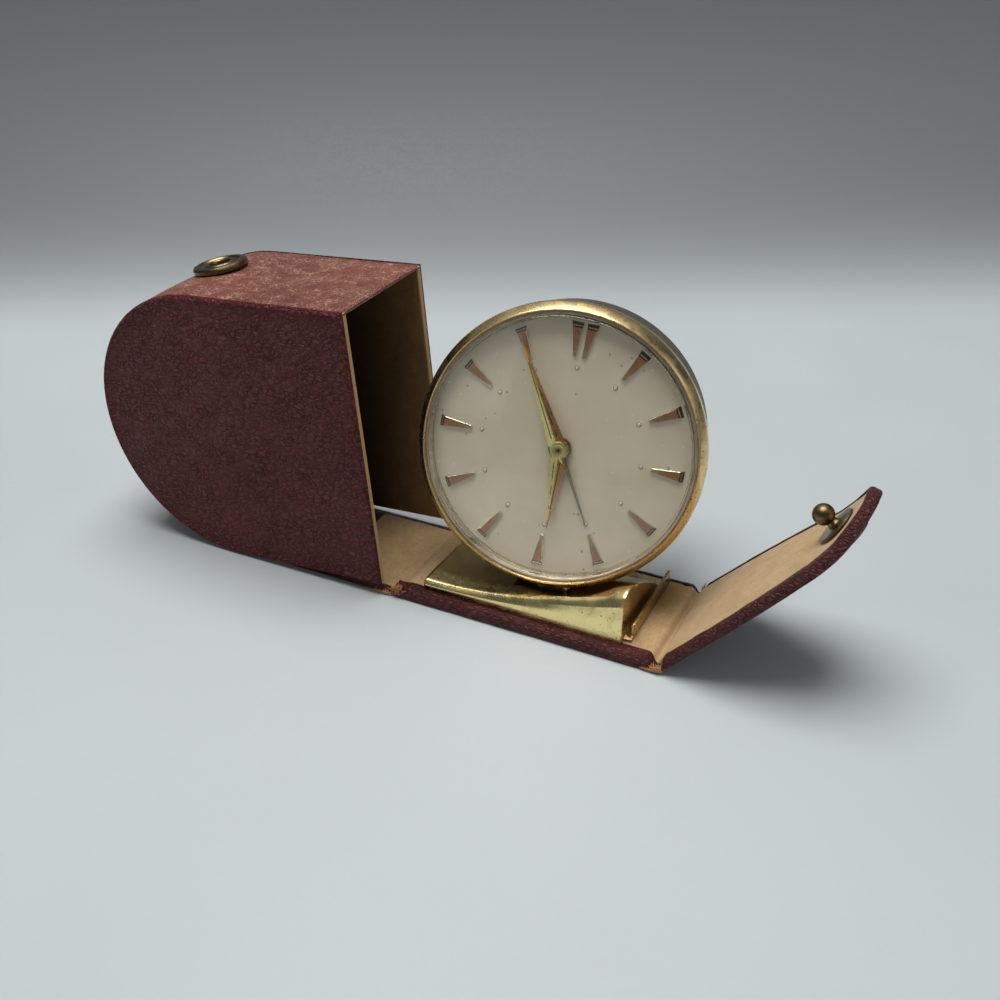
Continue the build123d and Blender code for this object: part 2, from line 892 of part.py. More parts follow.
with BuildPart() as foot_tray:
    flat = block(Plane.XY.offset(base_height), (-tray_half, tray_front), (tray_half, tray_back))
    extrude(flat, amount=tray_sheet)
    inner = tray_half - tray_sheet
    right_lip = block(Plane.XY.offset(base_height), (inner, lip_front), (tray_half, tray_back))
    extrude(right_lip, amount=lip_right - base_height)
    left_lip = block(Plane.XY.offset(base_height), (-tray_half, lip_front), (-inner, tray_back))
    extrude(left_lip, amount=lip_left - base_height)
    with BuildSketch(Plane.XY.offset(base_height)):
        with Locations((swing_x, swing_y)):
            Circle(rivet_radius)
    extrude(amount=base_height, mode=Mode.SUBTRACT)
foot_tray.part.label = "foot_tray"
export_step(foot_tray.part, "parts/foot_tray.step")

with BuildPart() as foot_cradle:
    ends = [
        section(cradle_left, cradle_left_rise, cradle_left_front_shares, cradle_left_top_shares),
        section(0, cradle_middle_rise, cradle_middle_front_shares, cradle_middle_top_shares),
        section(cradle_right, cradle_right_rise, cradle_right_front_shares, cradle_right_top_shares),
    ]
    loft(sections=[shape.faces()[0] for shape in ends])
    notch = block(Plane.XY, (pocket_left, pocket_front), (pocket_right, pocket_back))
    extrude(notch, amount=pocket_top, mode=Mode.SUBTRACT)
    for angle in (0, swing_angle, swing_angle + swing_most):
        for lean in (0, tilt_angle):
            clock_room(angle, lean)
foot_cradle.part.label = "foot_cradle"
export_step(foot_cradle.part, "parts/foot_cradle.step")

# Swing arm: a flat arm on the rivet with two ears for the tilt pin.
arm_reach = swing_y - pin_y
with BuildPart() as swing_arm:
    with BuildSketch(arm_plane.offset(arm_under)):
        Circle(arm_half)
        with Locations((0, -arm_reach * half)):
            Rectangle(ear_outer + ear_outer, arm_reach)
    extrude(amount=arm_top - arm_under)
    ear_low = (-ear_front - arm_reach, arm_under)
    for side in (-ear_outer, ear_inner):
        ear_plane = Plane(
            origin=arm_plane.from_local_coords((side, 0, 0)),
            x_dir=arm_plane.y_dir, z_dir=arm_plane.x_dir,
        )
        with BuildSketch(ear_plane):
            with Locations((-arm_reach, pin_z)):
                Circle(ear_radius)
            with Locations((-arm_reach, (arm_under + pin_z) * half)):
                Rectangle(ear_radius + ear_radius, pin_z - arm_under)
            with Locations((-arm_reach, pin_z)):
                Circle(pin_radius, mode=Mode.SUBTRACT)
        extrude(amount=ear_outer - ear_inner)
    with BuildSketch(arm_plane):
        Circle(rivet_run)
    extrude(amount=pin_z, mode=Mode.SUBTRACT)
swing_arm.part.label = "swing_arm"
export_step(swing_arm.part, "parts/swing_arm.step")

with BuildPart() as swing_rivet:
    with BuildSketch(Plane.XY.offset(rivet_foot_under)):
        with Locations((swing_x, swing_y)):
            Circle(rivet_foot_radius)
    extrude(amount=rivet_foot_top - rivet_foot_under)
    with BuildSketch(Plane.XY.offset(rivet_foot_under)):
        with Locations((swing_x, swing_y)):
            Circle(rivet_radius)
    extrude(amount=rivet_head_top - rivet_foot_under)
    with BuildSketch(Plane.XY.offset(rivet_head_under)):
        with Locations((swing_x, swing_y)):
            Circle(rivet_head_radius)
    extrude(amount=rivet_head_top - rivet_head_under)
swing_rivet.part.label = "swing_rivet"
export_step(swing_rivet.part, "parts/swing_rivet.step")

pin_plane = Plane(
    origin=swung(swing_x, pin_y, pin_z), x_dir=arm_plane.y_dir, z_dir=arm_plane.x_dir
)
with BuildPart() as tilt_pin:
    with BuildSketch(pin_plane.offset(-pin_half)):
        Circle(pin_radius)
    extrude(amount=pin_half + pin_half)
tilt_pin.part.label = "tilt_pin"
export_step(tilt_pin.part, "parts/tilt_pin.step")

# Lug under the drum, curved to it, with the pin's hole.
lug_x = Plane(
    origin=body_plane.origin, x_dir=body_plane.y_dir, z_dir=body_plane.x_dir
)
with BuildPart() as drum_lug:
    with BuildSketch(lug_x.offset(-lug_half)):
        with Locations((-pin_drop, -pin_behind)):
            Circle(lug_radius)
        with Locations((-(pin_drop + drum_radius - lug_flange_thick) * half, -pin_behind)):
            Rectangle(pin_drop - drum_radius + lug_flange_thick, lug_radius + lug_radius)
        with Locations((-pin_drop, -pin_behind)):
            Circle(pin_run, mode=Mode.SUBTRACT)
    extrude(amount=lug_half + lug_half)
    with BuildSketch(body_plane.offset(drum_back)):
        Circle(drum_radius)
    extrude(amount=-drum_back, mode=Mode.SUBTRACT)
drum_lug.part.label = "drum_lug"
export_step(drum_lug.part, "parts/drum_lug.step")


def cap_side(height):
    # The plane through the clock's axis, for shapes turned round it.
    return Plane(origin=body_plane.origin, x_dir=body_plane.x_dir, z_dir=-body_plane.y_dir)


def turned_round(points):
    # A ring or dish from its profile, given as radius and height.
    with BuildSketch(cap_side(0)) as area:
        with BuildLine():
            Polyline(*points, close=True)
        make_face()
    revolve(area.sketch, axis=Axis(body_plane.origin, body_plane.z_dir))


def dome_point(radius, low, apex, share):
    rise = apex - low
    ball = (radius * radius + rise * rise) * half / rise
    x = radius * share
    return x, apex - ball + math.sqrt(ball * ball - x * x)


# Clock case.
with BuildPart() as drum_case:
    inside = drum_radius - drum_wall
    turned_round([
        (inside, drum_front), (drum_radius, drum_front), (drum_radius, drum_back),
        (back_radius, drum_back), (back_radius, cover_inner_face), (shelf_inner, cover_inner_face),
        (shelf_inner, rear_shelf_front), (inside, rear_shelf_front), (inside, shelf_back),
        (shelf_inner, shelf_back), (shelf_inner, shelf_front), (inside, shelf_front),
    ])
drum_case.part.label = "drum_case"
export_step(drum_case.part, "parts/drum_case.step")

with BuildPart() as bezel:
    seat = crystal_radius + crystal_play
    turned_round([
        (drum_radius, bezel_back), (bezel_outer - bezel_chamfer, bezel_back),
        (bezel_outer, bezel_back + bezel_chamfer), (bezel_outer, bezel_side_front),
        (bezel_bead_radius, bezel_bead_front), (bezel_crown_radius, bezel_front),
        (bezel_lip_radius, bezel_lip_front), (bezel_opening, bezel_opening_front),
        (bezel_opening, crystal_step), (seat, crystal_step), (seat, drum_front),
        (drum_radius, drum_front),
    ])
bezel.part.label = "bezel"
export_step(bezel.part, "parts/bezel.step")

with BuildPart() as crystal:
    outer_mid = dome_point(crystal_outer_radius, crystal_outer_wall, crystal_outer_apex, half)
    inner_mid = dome_point(crystal_inner_radius, crystal_inner_wall, crystal_inner_apex, half)
    outer_edge = (crystal_outer_radius, crystal_outer_wall)
    inner_edge = (crystal_inner_radius, crystal_inner_wall)
    with BuildSketch(cap_side(0)):
        with BuildLine():
            ThreePointArc((0, crystal_outer_apex), outer_mid, outer_edge)
            Polyline(
                outer_edge, (crystal_outer_radius, crystal_step), (crystal_radius, crystal_step),
                (crystal_radius, crystal_seat), (crystal_inner_radius, crystal_seat), inner_edge,
            )
            ThreePointArc(inner_edge, inner_mid, (0, crystal_inner_apex))
            Line((0, crystal_inner_apex), (0, crystal_outer_apex))
        make_face()
    revolve(axis=Axis(body_plane.origin, body_plane.z_dir))
crystal.part.label = "crystal"
export_step(crystal.part, "parts/crystal.step")

with BuildPart() as inner_ring:
    turned_round([
        (ring_inner_radius, 0), (ring_outer_radius, 0),
        (ring_outer_radius, crystal_seat), (ring_front_radius, crystal_seat),
    ])
inner_ring.part.label = "inner_ring"
export_step(inner_ring.part, "parts/inner_ring.step")

with BuildPart() as dial:
    disc(-dial_sheet, dial_radius, 0, (0, 0), dial_hole)
dial.part.label = "dial"
export_step(dial.part, "parts/dial.step")


def marker(bearing, near=0, far=0):
    # A raised wedge, wide end outward, sloping down to the middle of the dial.
    with BuildSketch(spun(face_plane, bearing)) as area:
        with BuildLine():
            Polyline(
                (marker_inner, near - marker_narrow), (marker_outer, far - marker_wide),
                (marker_outer, far + marker_wide), (marker_inner, near + marker_narrow),
                close=True,
            )
        make_face()
    extrude(area.sketch, amount=marker_height)


hour_step = turn / 12
with BuildPart() as hour_markers:
    for k in range(1, 12):
        marker(turn / 4 - k * hour_step)
    marker(turn / 4, marker_pair_near, marker_pair_far)
    marker(turn / 4, -marker_pair_near, -marker_pair_far)
hour_markers.part.label = "hour_markers"
export_step(hour_markers.part, "parts/hour_markers.step")

with BuildPart() as lume_dots:
    for k in range(12):
        disc(0, dot_radius, dot_height, polar(dot_ring, k * hour_step))
lume_dots.part.label = "lume_dots"
export_step(lume_dots.part, "parts/lume_dots.step")

with BuildPart() as back_cover:
    disc(drum_back, back_radius, cover_inner_face)
    drill(drum_back, cover_inner_face, [
        (time_place, key_run), (ring_place, key_run), (set_place, shaft_run),
        (alarm_place, shaft_run), (button_place, button_run), (lever_place, lever_post_run),
    ])
back_cover.part.label = "back_cover"
export_step(back_cover.part, "parts/back_cover.step")


# Hands.
def hand(height, top, bearing, hub, hole, points):
    with BuildSketch(spun(face(height), turn / 4 - bearing)) as area:
        with BuildLine():
            Polyline(*points, close=True)
        make_face()
        Circle(hub)
        Circle(hole, mode=Mode.SUBTRACT)
    extrude(area.sketch, amount=top - height)


def dauphine(length, shoulder, wide, tail):
    return [(-tail, 0), (shoulder, -wide), (length, 0), (shoulder, wide)]


with BuildPart() as minute_hand:
    outline = dauphine(minute_length, minute_shoulder, minute_half, minute_tail)
    hand(minute_under, minute_top, minute_angle, minute_hand_hub, cannon_tube, outline)
minute_hand.part.label = "minute_hand"
export_step(minute_hand.part, "parts/minute_hand.step")

with BuildPart() as hour_hand:
    outline = dauphine(hour_length, hour_shoulder, hour_half, hour_tail)
    hand(hour_under, hour_top, hour_angle, hour_hand_hub, hour_tube, outline)
hour_hand.part.label = "hour_hand"
export_step(hour_hand.part, "parts/hour_hand.step")

with BuildPart() as alarm_hand:
    outline = [
        (0, -alarm_half), (alarm_length, -alarm_tip_half), (alarm_length, alarm_tip_half), (0, alarm_half)
    ]
    hand(alarm_under, alarm_top, alarm_angle, alarm_hub, alarm_tube, outline)
alarm_hand.part.label = "alarm_hand"
export_step(alarm_hand.part, "parts/alarm_hand.step")

# Motion work. Each gear's turn follows from the one that drives it.
middle = (0, 0)
with BuildPart() as cannon_pinion:
    gear(low_under, low_top, motion_module, cannon_teeth, 0, middle, cannon_hole)
    disc(low_top, cannon_tube, minute_top, middle, cannon_hole)
    disc(minute_top, cannon_cap_radius, cannon_cap_top, middle, cannon_hole)
cannon_pinion.part.label = "cannon_pinion"
export_step(cannon_pinion.part, "parts/cannon_pinion.step")

minute_phase = partner_phase(0, cannon_teeth, minute_bearing, minute_teeth)
with BuildPart() as minute_wheel:
    gear(low_under, low_top, motion_module, minute_teeth, minute_phase, minute_place, minute_hub_hole)
    disc(low_top, minute_hub, high_under, minute_place, minute_hub_hole)
    gear(high_under, high_top, hour_module, minute_pinion_teeth, 0, minute_place, minute_hub_hole)
minute_wheel.part.label = "minute_wheel"
export_step(minute_wheel.part, "parts/minute_wheel.step")

hour_phase = partner_phase(0, minute_pinion_teeth, minute_bearing + turn * half, hour_teeth)
with BuildPart() as hour_wheel:
    gear(high_under, high_top, hour_module, hour_teeth, hour_phase, middle, hour_hole)
    disc(high_top, hour_tube, hour_tube_top, middle, hour_hole)
hour_wheel.part.label = "hour_wheel"
export_step(hour_wheel.part, "parts/hour_wheel.step")

with BuildPart() as alarm_wheel:
    gear(alarm_wheel_under, alarm_wheel_top, motion_module, alarm_teeth, 0, middle, alarm_hole)
    disc(alarm_wheel_top, alarm_tube, alarm_tube_top, middle, alarm_hole)
alarm_wheel.part.label = "alarm_wheel"
export_step(alarm_wheel.part, "parts/alarm_wheel.step")


def knob_head(at):
    # A round knob with a knurled rim.
    disc(knob_back, knob_radius, knob_front, at)
    for k in range(knob_teeth):
        step = polar(knob_radius, k * turn / knob_teeth)
        place = (at[0] + step[0], at[1] + step[1])
        disc(knob_back, knob_groove, knob_front, place, 0, Mode.SUBTRACT)


set_phase = partner_phase(minute_phase, minute_teeth, set_bearing, set_teeth)
with BuildPart() as set_knob:
    gear(low_under, low_top, motion_module, set_teeth, set_phase, set_place)
    disc(knob_front, shaft_radius, low_under, set_place)
    knob_head(set_place)
set_knob.part.label = "set_knob"
export_step(set_knob.part, "parts/set_knob.step")

ring_phase = partner_phase(0, alarm_teeth, alarm_bearing, alarm_pinion_teeth)
with BuildPart() as alarm_knob:
    gear(alarm_wheel_under, alarm_wheel_top, motion_module, alarm_pinion_teeth, ring_phase, alarm_place)
    disc(knob_front, shaft_radius, alarm_wheel_under, alarm_place)
    knob_head(alarm_place)
alarm_knob.part.label = "alarm_knob"
export_step(alarm_knob.part, "parts/alarm_knob.step")


def winding_key(at, wing_turn):
    # Arbor through the barrel, ratchet wheel, stem and two-winged key.
    disc(key_front, key_shaft, arbor_front, at)
    gear(ratchet_under, ratchet_top, ratchet_module, ratchet_teeth, 0, at)
    disc(key_stem_back, key_stem, key_front, at)
    with BuildSketch(face_at(at, key_back, wing_turn)) as area:
        RectangleRounded(key_wing_half + key_wing_half, key_wing_thick + key_wing_thick, key_wing_edge)
    extrude(area.sketch, amount=key_wing_front - key_back)


with BuildPart() as time_key:
    winding_key(time_place, key_time_turn)
time_key.part.label = "time_key"
export_step(time_key.part, "parts/time_key.step")

with BuildPart() as alarm_key:
    winding_key(ring_place, key_alarm_turn)
alarm_key.part.label = "alarm_key"
export_step(alarm_key.part, "parts/alarm_key.step")

with BuildPart() as stop_button:
    disc(button_back, button_radius, button_front, button_place)
    disc(button_collar_back, button_collar, button_collar_front, button_place)
stop_button.part.label = "stop_button"
export_step(stop_button.part, "parts/stop_button.step")

with BuildPart() as regulator_lever:
    disc(lever_back, lever_post, lever_post_front, lever_place)
    disc(lever_back, lever_hub, lever_front, lever_place)
    with BuildSketch(face_at(lever_place, lever_back, lever_bearing)):
        with Locations((lever_length * half, 0)):
            Rectangle(lever_length, lever_half + lever_half)
        with Locations((lever_length, 0)):
            Circle(lever_pad)
    extrude(amount=lever_front - lever_back)
regulator_lever.part.label = "regulator_lever"
export_step(regulator_lever.part, "parts/regulator_lever.step")

# Movement plates and ring.
with BuildPart() as movement_ring:
    disc(front_plate_top, dial_radius, -dial_sheet, middle, movement_ring_inner)
movement_ring.part.label = "movement_ring"
export_step(movement_ring.part, "parts/movement_ring.step")

with BuildPart() as front_plate:
    disc(front_plate_under, plate_radius, front_plate_top)
    drill(front_plate_under, front_plate_top, [
        (middle, centre_arbor_radius), (time_place, key_run), (ring_place, key_run),
        (set_place, shaft_run), (alarm_place, shaft_run),
        *[(place, arbor_radius) for place in arbor_places],
    ])
    disc(front_plate_top, minute_post, minute_post_top, minute_place)
    for bearing in pillar_bearings:
        disc(rear_plate_top, pillar_radius, front_plate_under, polar(pillar_ring, bearing))
front_plate.part.label = "front_plate"
export_step(front_plate.part, "parts/front_plate.step")

with BuildPart() as back_plate:
    disc(rear_plate_under, rear_plate_radius, rear_plate_top)
    drill(rear_plate_under, rear_plate_top, [
        (middle, centre_arbor_radius), (time_place, key_run), (ring_place, key_run),
        (set_place, shaft_run), (alarm_place, shaft_run),
        *[(place, arbor_radius) for place in arbor_places],
    ])
back_plate.part.label = "back_plate"
export_step(back_plate.part, "parts/back_plate.step")


# Going train.
def arbor(at, radius=arbor_radius, top=front_plate_top):
    disc(rear_plate_under, radius, top, at)


with BuildPart() as centre_wheel:
    arbor(middle, centre_arbor_radius, centre_arbor_top)
    gear(centre_wheel_under, centre_wheel_top, train_module, centre_teeth, 0)
    gear(centre_pinion_under, centre_pinion_top, barrel_module, centre_pinion_teeth, 0)
centre_wheel.part.label = "centre_wheel"
export_step(centre_wheel.part, "parts/centre_wheel.step")

third_phase = partner_phase(0, centre_teeth, third_bearing, third_pinion_teeth)
with BuildPart() as third_wheel:
    arbor(third_place)
    gear(third_pinion_under, third_pinion_top, train_module, third_pinion_teeth, third_phase, third_place)
    gear(third_wheel_under, third_wheel_top, third_module, third_teeth, 0, third_place)
    disc(third_pinion_top, minute_hub, third_wheel_under, third_place)
third_wheel.part.label = "third_wheel"
export_step(third_wheel.part, "parts/third_wheel.step")

fourth_phase = partner_phase(0, third_teeth, fourth_bearing, fourth_pinion_teeth)
with BuildPart() as fourth_wheel:
    arbor(fourth_place)
    gear(
        fourth_pinion_under, fourth_pinion_top, third_module, fourth_pinion_teeth,
        fourth_phase, fourth_place,
    )
    gear(fourth_wheel_under, fourth_wheel_top, fourth_module, fourth_teeth, 0, fourth_place)
fourth_wheel.part.label = "fourth_wheel"
export_step(fourth_wheel.part, "parts/fourth_wheel.step")

escape_phase = partner_phase(0, fourth_teeth, escape_bearing, escape_pinion_teeth)
with BuildPart() as escape_wheel:
    arbor(escape_place)
    gear(
        escape_pinion_under, escape_pinion_top, fourth_module, escape_pinion_teeth,
        escape_phase, escape_place,
    )
    gear(escape_wheel_under, escape_wheel_top, escape_wheel_module, escape_teeth, 0, escape_place)
escape_wheel.part.label = "escape_wheel"
export_step(escape_wheel.part, "parts/escape_wheel.step")

with BuildPart() as pallet_lever:
    arbor(pallet_place)
    disc(escape_wheel_under, pallet_hub, escape_wheel_top, pallet_place)
    with BuildSketch(face_at(pallet_place, escape_wheel_under, pallet_turn)):
        Rectangle(pallet_arm_half + pallet_arm_half, pallet_arm + pallet_arm)
    extrude(amount=escape_wheel_top - escape_wheel_under)
pallet_lever.part.label = "pallet_lever"
export_step(pallet_lever.part, "parts/pallet_lever.step")

with BuildPart() as balance_wheel:
    arbor(balance_place)
    disc(balance_under, balance_outer, balance_top, balance_place, balance_inner)
    disc(balance_under, balance_hub, balance_top, balance_place)
    with BuildSketch(face_at(balance_place, balance_under)):
        Rectangle(balance_outer + balance_inner, balance_spoke_half + balance_spoke_half)
    extrude(amount=balance_top - balance_under)
balance_wheel.part.label = "balance_wheel"
export_step(balance_wheel.part, "parts/balance_wheel.step")

# Hairspring: a flat spiral from the staff outward.
with BuildPart() as hairspring:
    steps = spring_turns * 12
    inner_points = []
    outer_points = []
    for k in range(steps + 1):
        radius = spring_first + spring_step * k / 12
        x, y = polar(radius - spring_half_width, k * hour_step)
        inner_points.append((balance_place[0] + x, balance_place[1] + y))
        x, y = polar(radius + spring_half_width, k * hour_step)
        outer_points.append((balance_place[0] + x, balance_place[1] + y))
    with BuildSketch(face(spring_under)):
        with BuildLine():
            Spline(*inner_points)
            Line(inner_points[-1], outer_points[-1])
            Spline(*reversed(outer_points))
            Line(outer_points[0], inner_points[0])
        make_face()
    extrude(amount=spring_top - spring_under)
hairspring.part.label = "hairspring"
export_step(hairspring.part, "parts/hairspring.step")

# Barrels with their springs' room, on the winding arbors.
with BuildPart() as time_barrel:
    disc(barrel_under, barrel_body, barrel_top, time_place)
    gear(
        ring_gear_under, ring_gear_top, barrel_module, barrel_teeth,
        partner_phase(0, centre_pinion_teeth, turn * half + barrel_bearing, barrel_teeth), time_place,
    )
    disc(barrel_floor, barrel_cavity, barrel_lid, time_place, barrel_hub, Mode.SUBTRACT)
    disc(barrel_under, key_run, barrel_top, time_place, 0, Mode.SUBTRACT)
time_barrel.part.label = "time_barrel"
export_step(time_barrel.part, "parts/time_barrel.step")

with BuildPart() as alarm_barrel:
    disc(barrel_under, alarm_barrel_radius, barrel_top, ring_place)
    disc(barrel_floor, alarm_barrel_cavity, barrel_lid, ring_place, barrel_hub, Mode.SUBTRACT)
    disc(barrel_under, key_run, barrel_top, ring_place, 0, Mode.SUBTRACT)
alarm_barrel.part.label = "alarm_barrel"
export_step(alarm_barrel.part, "parts/alarm_barrel.step")

with BuildPart() as alarm_hammer:
    arbor(hammer_place)
    disc(hammer_under, hammer_hub, hammer_top, hammer_place)
    head_step = polar(hammer_reach, hammer_bearing)
    head_place = (hammer_place[0] + head_step[0], hammer_place[1] + head_step[1])
    disc(hammer_under, hammer_head, hammer_top, head_place)
    with BuildSketch(face_at(hammer_place, hammer_under, hammer_bearing)):
        with Locations((hammer_reach * half, 0)):
            Rectangle(hammer_reach, hammer_arm_half + hammer_arm_half)
    extrude(amount=hammer_arm_top - hammer_under)
alarm_hammer.part.label = "alarm_hammer"
export_step(alarm_hammer.part, "parts/alarm_hammer.step")
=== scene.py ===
"""A round brass travel alarm clock standing in its opened maroon leather case."""

import json
import math

import bmesh
import bpy
from mathutils import Matrix, Vector, noise

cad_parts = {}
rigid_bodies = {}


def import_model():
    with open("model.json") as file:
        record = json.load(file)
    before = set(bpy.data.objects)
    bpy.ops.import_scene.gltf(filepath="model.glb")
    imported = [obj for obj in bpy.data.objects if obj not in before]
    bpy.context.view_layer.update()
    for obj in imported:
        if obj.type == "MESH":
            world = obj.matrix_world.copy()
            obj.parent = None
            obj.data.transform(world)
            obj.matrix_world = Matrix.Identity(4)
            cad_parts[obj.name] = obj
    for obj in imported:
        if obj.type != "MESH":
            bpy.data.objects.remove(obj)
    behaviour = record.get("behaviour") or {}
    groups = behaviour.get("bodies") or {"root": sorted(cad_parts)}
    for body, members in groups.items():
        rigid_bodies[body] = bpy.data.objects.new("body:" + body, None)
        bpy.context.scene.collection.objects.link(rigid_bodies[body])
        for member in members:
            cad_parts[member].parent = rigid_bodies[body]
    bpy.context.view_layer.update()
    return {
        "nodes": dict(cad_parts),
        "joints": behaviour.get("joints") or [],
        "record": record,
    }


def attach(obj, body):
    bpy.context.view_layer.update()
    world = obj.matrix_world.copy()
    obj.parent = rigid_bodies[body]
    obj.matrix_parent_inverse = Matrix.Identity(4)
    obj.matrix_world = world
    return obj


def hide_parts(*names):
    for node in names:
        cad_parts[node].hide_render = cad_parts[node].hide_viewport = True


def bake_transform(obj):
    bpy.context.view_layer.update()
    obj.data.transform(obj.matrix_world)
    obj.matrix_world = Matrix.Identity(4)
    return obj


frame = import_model()
scene = bpy.context.scene

# Sizes are in millimetres in each piece's own frame, and MM brings them to metres.
MM = 0.001
HALF_TURN = math.pi


def directions(angle):
    turn = math.radians(angle)
    return math.cos(turn), math.sin(turn)


def frame_at(origin, x_way, z_way):
    """A frame in metres whose local unit is a millimetre."""
    x, z = Vector(x_way).normalized(), Vector(z_way).normalized()
    turned = Matrix((x, z.cross(x), z)).transposed().to_4x4()
    return Matrix.Translation(Vector(origin)) @ turned @ Matrix.Scale(MM, 4)


def joint_of(name):
    return next(joint for joint in frame["joints"] if joint["name"] == name)


# Frames of the case and the clock, with the same sizes as the solids.
ROW = Matrix.Scale(MM, 4)
FACE_ROLL, FLAP_ANGLE, COVER_LEAN = 8.0, 47.0, 3.8
COVER_X, COVER_Z = 32.8, 2.66
HINGE_X, HINGE_Z = 30.8, 0.5

face_way = Vector(joint_of("minute_turn")["axis"])
side_way = Vector(joint_of("clock_tilt")["axis"])
roll_cos, roll_sin = directions(FACE_ROLL)
face_x = side_way * roll_cos - face_way.cross(side_way) * roll_sin
FACE = frame_at(joint_of("minute_turn")["pos_m"], face_x, face_way)
lean_cos, lean_sin = directions(COVER_LEAN)
COVER = frame_at((-COVER_X * MM, 0, COVER_Z * MM), (-lean_cos, 0, -lean_sin), (0, 1, 0))
flap_cos, flap_sin = directions(FLAP_ANGLE)


# Numbers


def lerp(a, b, share):
    return a + (b - a) * share


def smooth(share):
    share = max(0.0, min(1.0, share))
    return share * share * (3 - 2 * share)


def bump(place, middle, width):
    """A soft hump of height 1."""
    return math.exp(-((place - middle) / width) ** 2)


def even(low, high, step):
    count = max(1, round((high - low) / step))
    return [lerp(low, high, k / count) for k in range(1, count)]


def along_table(table, place):
    """Reads a value between pairs of place and value."""
    for (a, low), (b, high) in zip(table, table[1:]):
        if place <= b:
            return lerp(low, high, max(0.0, (place - a) / (b - a)))
    return table[-1][1]


def ripple(x, y, size, amount, seed):
    return amount * noise.noise(Vector((x / size, y / size, seed)))


# Mesh making


def slice_at(bm, way, places):
    for place in places:
        geom = bm.verts[:] + bm.edges[:] + bm.faces[:]
        bmesh.ops.bisect_plane(bm, geom=geom, plane_co=way * place, plane_no=way, dist=1e-6)


def shaped(place_of, cuts_x=0, cuts_y=0, cuts_z=0):
    """A cube from 0 to 1, sliced evenly or at given shares, with each point put in its place."""
    bm = bmesh.new()
    bmesh.ops.create_cube(bm, size=1, matrix=Matrix.Translation((0.5, 0.5, 0.5)))
    for axis, cuts in enumerate((cuts_x, cuts_y, cuts_z)):
        if isinstance(cuts, int):
            cuts = [(k + 1) / (cuts + 1) for k in range(cuts)]
        way = Vector((0, 0, 0))
        way[axis] = 1
        slice_at(bm, way, cuts)
    for vert in bm.verts:
        vert.co = place_of(*vert.co)
    return bm


def soften(bm, width, segments=3, least=35, chosen=None):
    """Rounds the edges that are sharper than an angle."""
    bmesh.ops.recalc_face_normals(bm, faces=bm.faces)
    limit = math.radians(least)
    edges = [
        e for e in bm.edges
        if e.is_manifold and e.calc_face_angle(0) > limit and (chosen is None or chosen(e))
    ]
    bmesh.ops.bevel(
        bm, geom=edges, offset=width, offset_type="OFFSET", segments=segments, profile=0.5,
        affect="EDGES", material=-1, clamp_overlap=True,
    )


def lathe(profile, steps=256, soft=(), closed=True):
    """A profile of radius and height turned about the local Z axis, with softened corners."""
    bm = bmesh.new()
    verts = [bm.verts.new((radius, 0, height)) for radius, height in profile]
    edges = [bm.edges.new(pair) for pair in zip(verts, verts[1:])]
    if closed:
        edges.append(bm.edges.new((verts[-1], verts[0])))
    bmesh.ops.spin(
        bm, geom=verts + edges, cent=(0, 0, 0), axis=(0, 0, 1), angle=2 * HALF_TURN, steps=steps,
        use_merge=True,
    )
    bmesh.ops.remove_doubles(bm, verts=bm.verts, dist=1e-5)
    if soft:
        soften(bm, *soft)
    return bm


def extruded(points, low, high):
    """A closed outline made solid between two heights."""
    low, high = sorted((low, high))
    bm = bmesh.new()
    ring = bm.faces.new([bm.verts.new((x, y, low)) for x, y in points])
    made = bmesh.ops.extrude_face_region(bm, geom=[ring], use_keep_orig=True)
    tops = [g for g in made["geom"] if isinstance(g, bmesh.types.BMVert)]
    bmesh.ops.translate(bm, verts=tops, vec=(0, 0, high - low))
    bmesh.ops.recalc_face_normals(bm, faces=bm.faces)
    return bm


def mark_edges(bm, full=0.9):
    """Keeps how far each point stands on an outer edge, for wear."""
    bmesh.ops.recalc_face_normals(bm, faces=bm.faces)
    layer = bm.verts.layers.float.new("edge")
    for vert in bm.verts:
        bends = [e.calc_face_angle_signed(0) for e in vert.link_edges if e.is_manifold]
        vert[layer] = max(0.0, min(1.0, sum(bends) / full))
    means = []
    for vert in bm.verts:
        near = [e.other_vert(vert)[layer] for e in vert.link_edges]
        means.append(0.5 * vert[layer] + 0.5 * sum(near) / max(len(near), 1))
    for vert, mean in zip(bm.verts, means):
        vert[layer] = mean


def joined(*parts):
    """Several shapes in one mesh."""
    whole = bmesh.new()
    for part in parts:
        held = bpy.data.meshes.new("held")
        part.to_mesh(held)
        part.free()
        whole.from_mesh(held)
        bpy.data.meshes.remove(held)
    return whole


def moved(bm, place):
    bmesh.ops.transform(bm, matrix=place, verts=bm.verts)
    return bm


def placed(bm, name, finish):
    """An object of its own, smooth and with its finish."""
    mesh = bpy.data.meshes.new(name)
    bm.to_mesh(mesh)
    bm.free()
    mesh.shade_smooth()
    mesh.materials.append(finish)
    piece = bpy.data.objects.new(name, mesh)
    scene.collection.objects.link(piece)
    return piece


def keep(bm, name, place, slot, body=None, stands_for="", finish="", sharp=40, marked=True):
    """Ends a piece: its mesh in the row frame, its finish and what it rides on."""
    bmesh.ops.recalc_face_normals(bm, faces=bm.faces)
    if marked:
        mark_edges(bm)
    piece = placed(moved(bm, place), name, FINISHES[finish or slot])
    piece.data.set_sharp_from_angle(angle=math.radians(sharp))
    if body:
        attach(piece, body)
    if stands_for:
        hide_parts(*stands_for.split())
    return piece


# Shader building


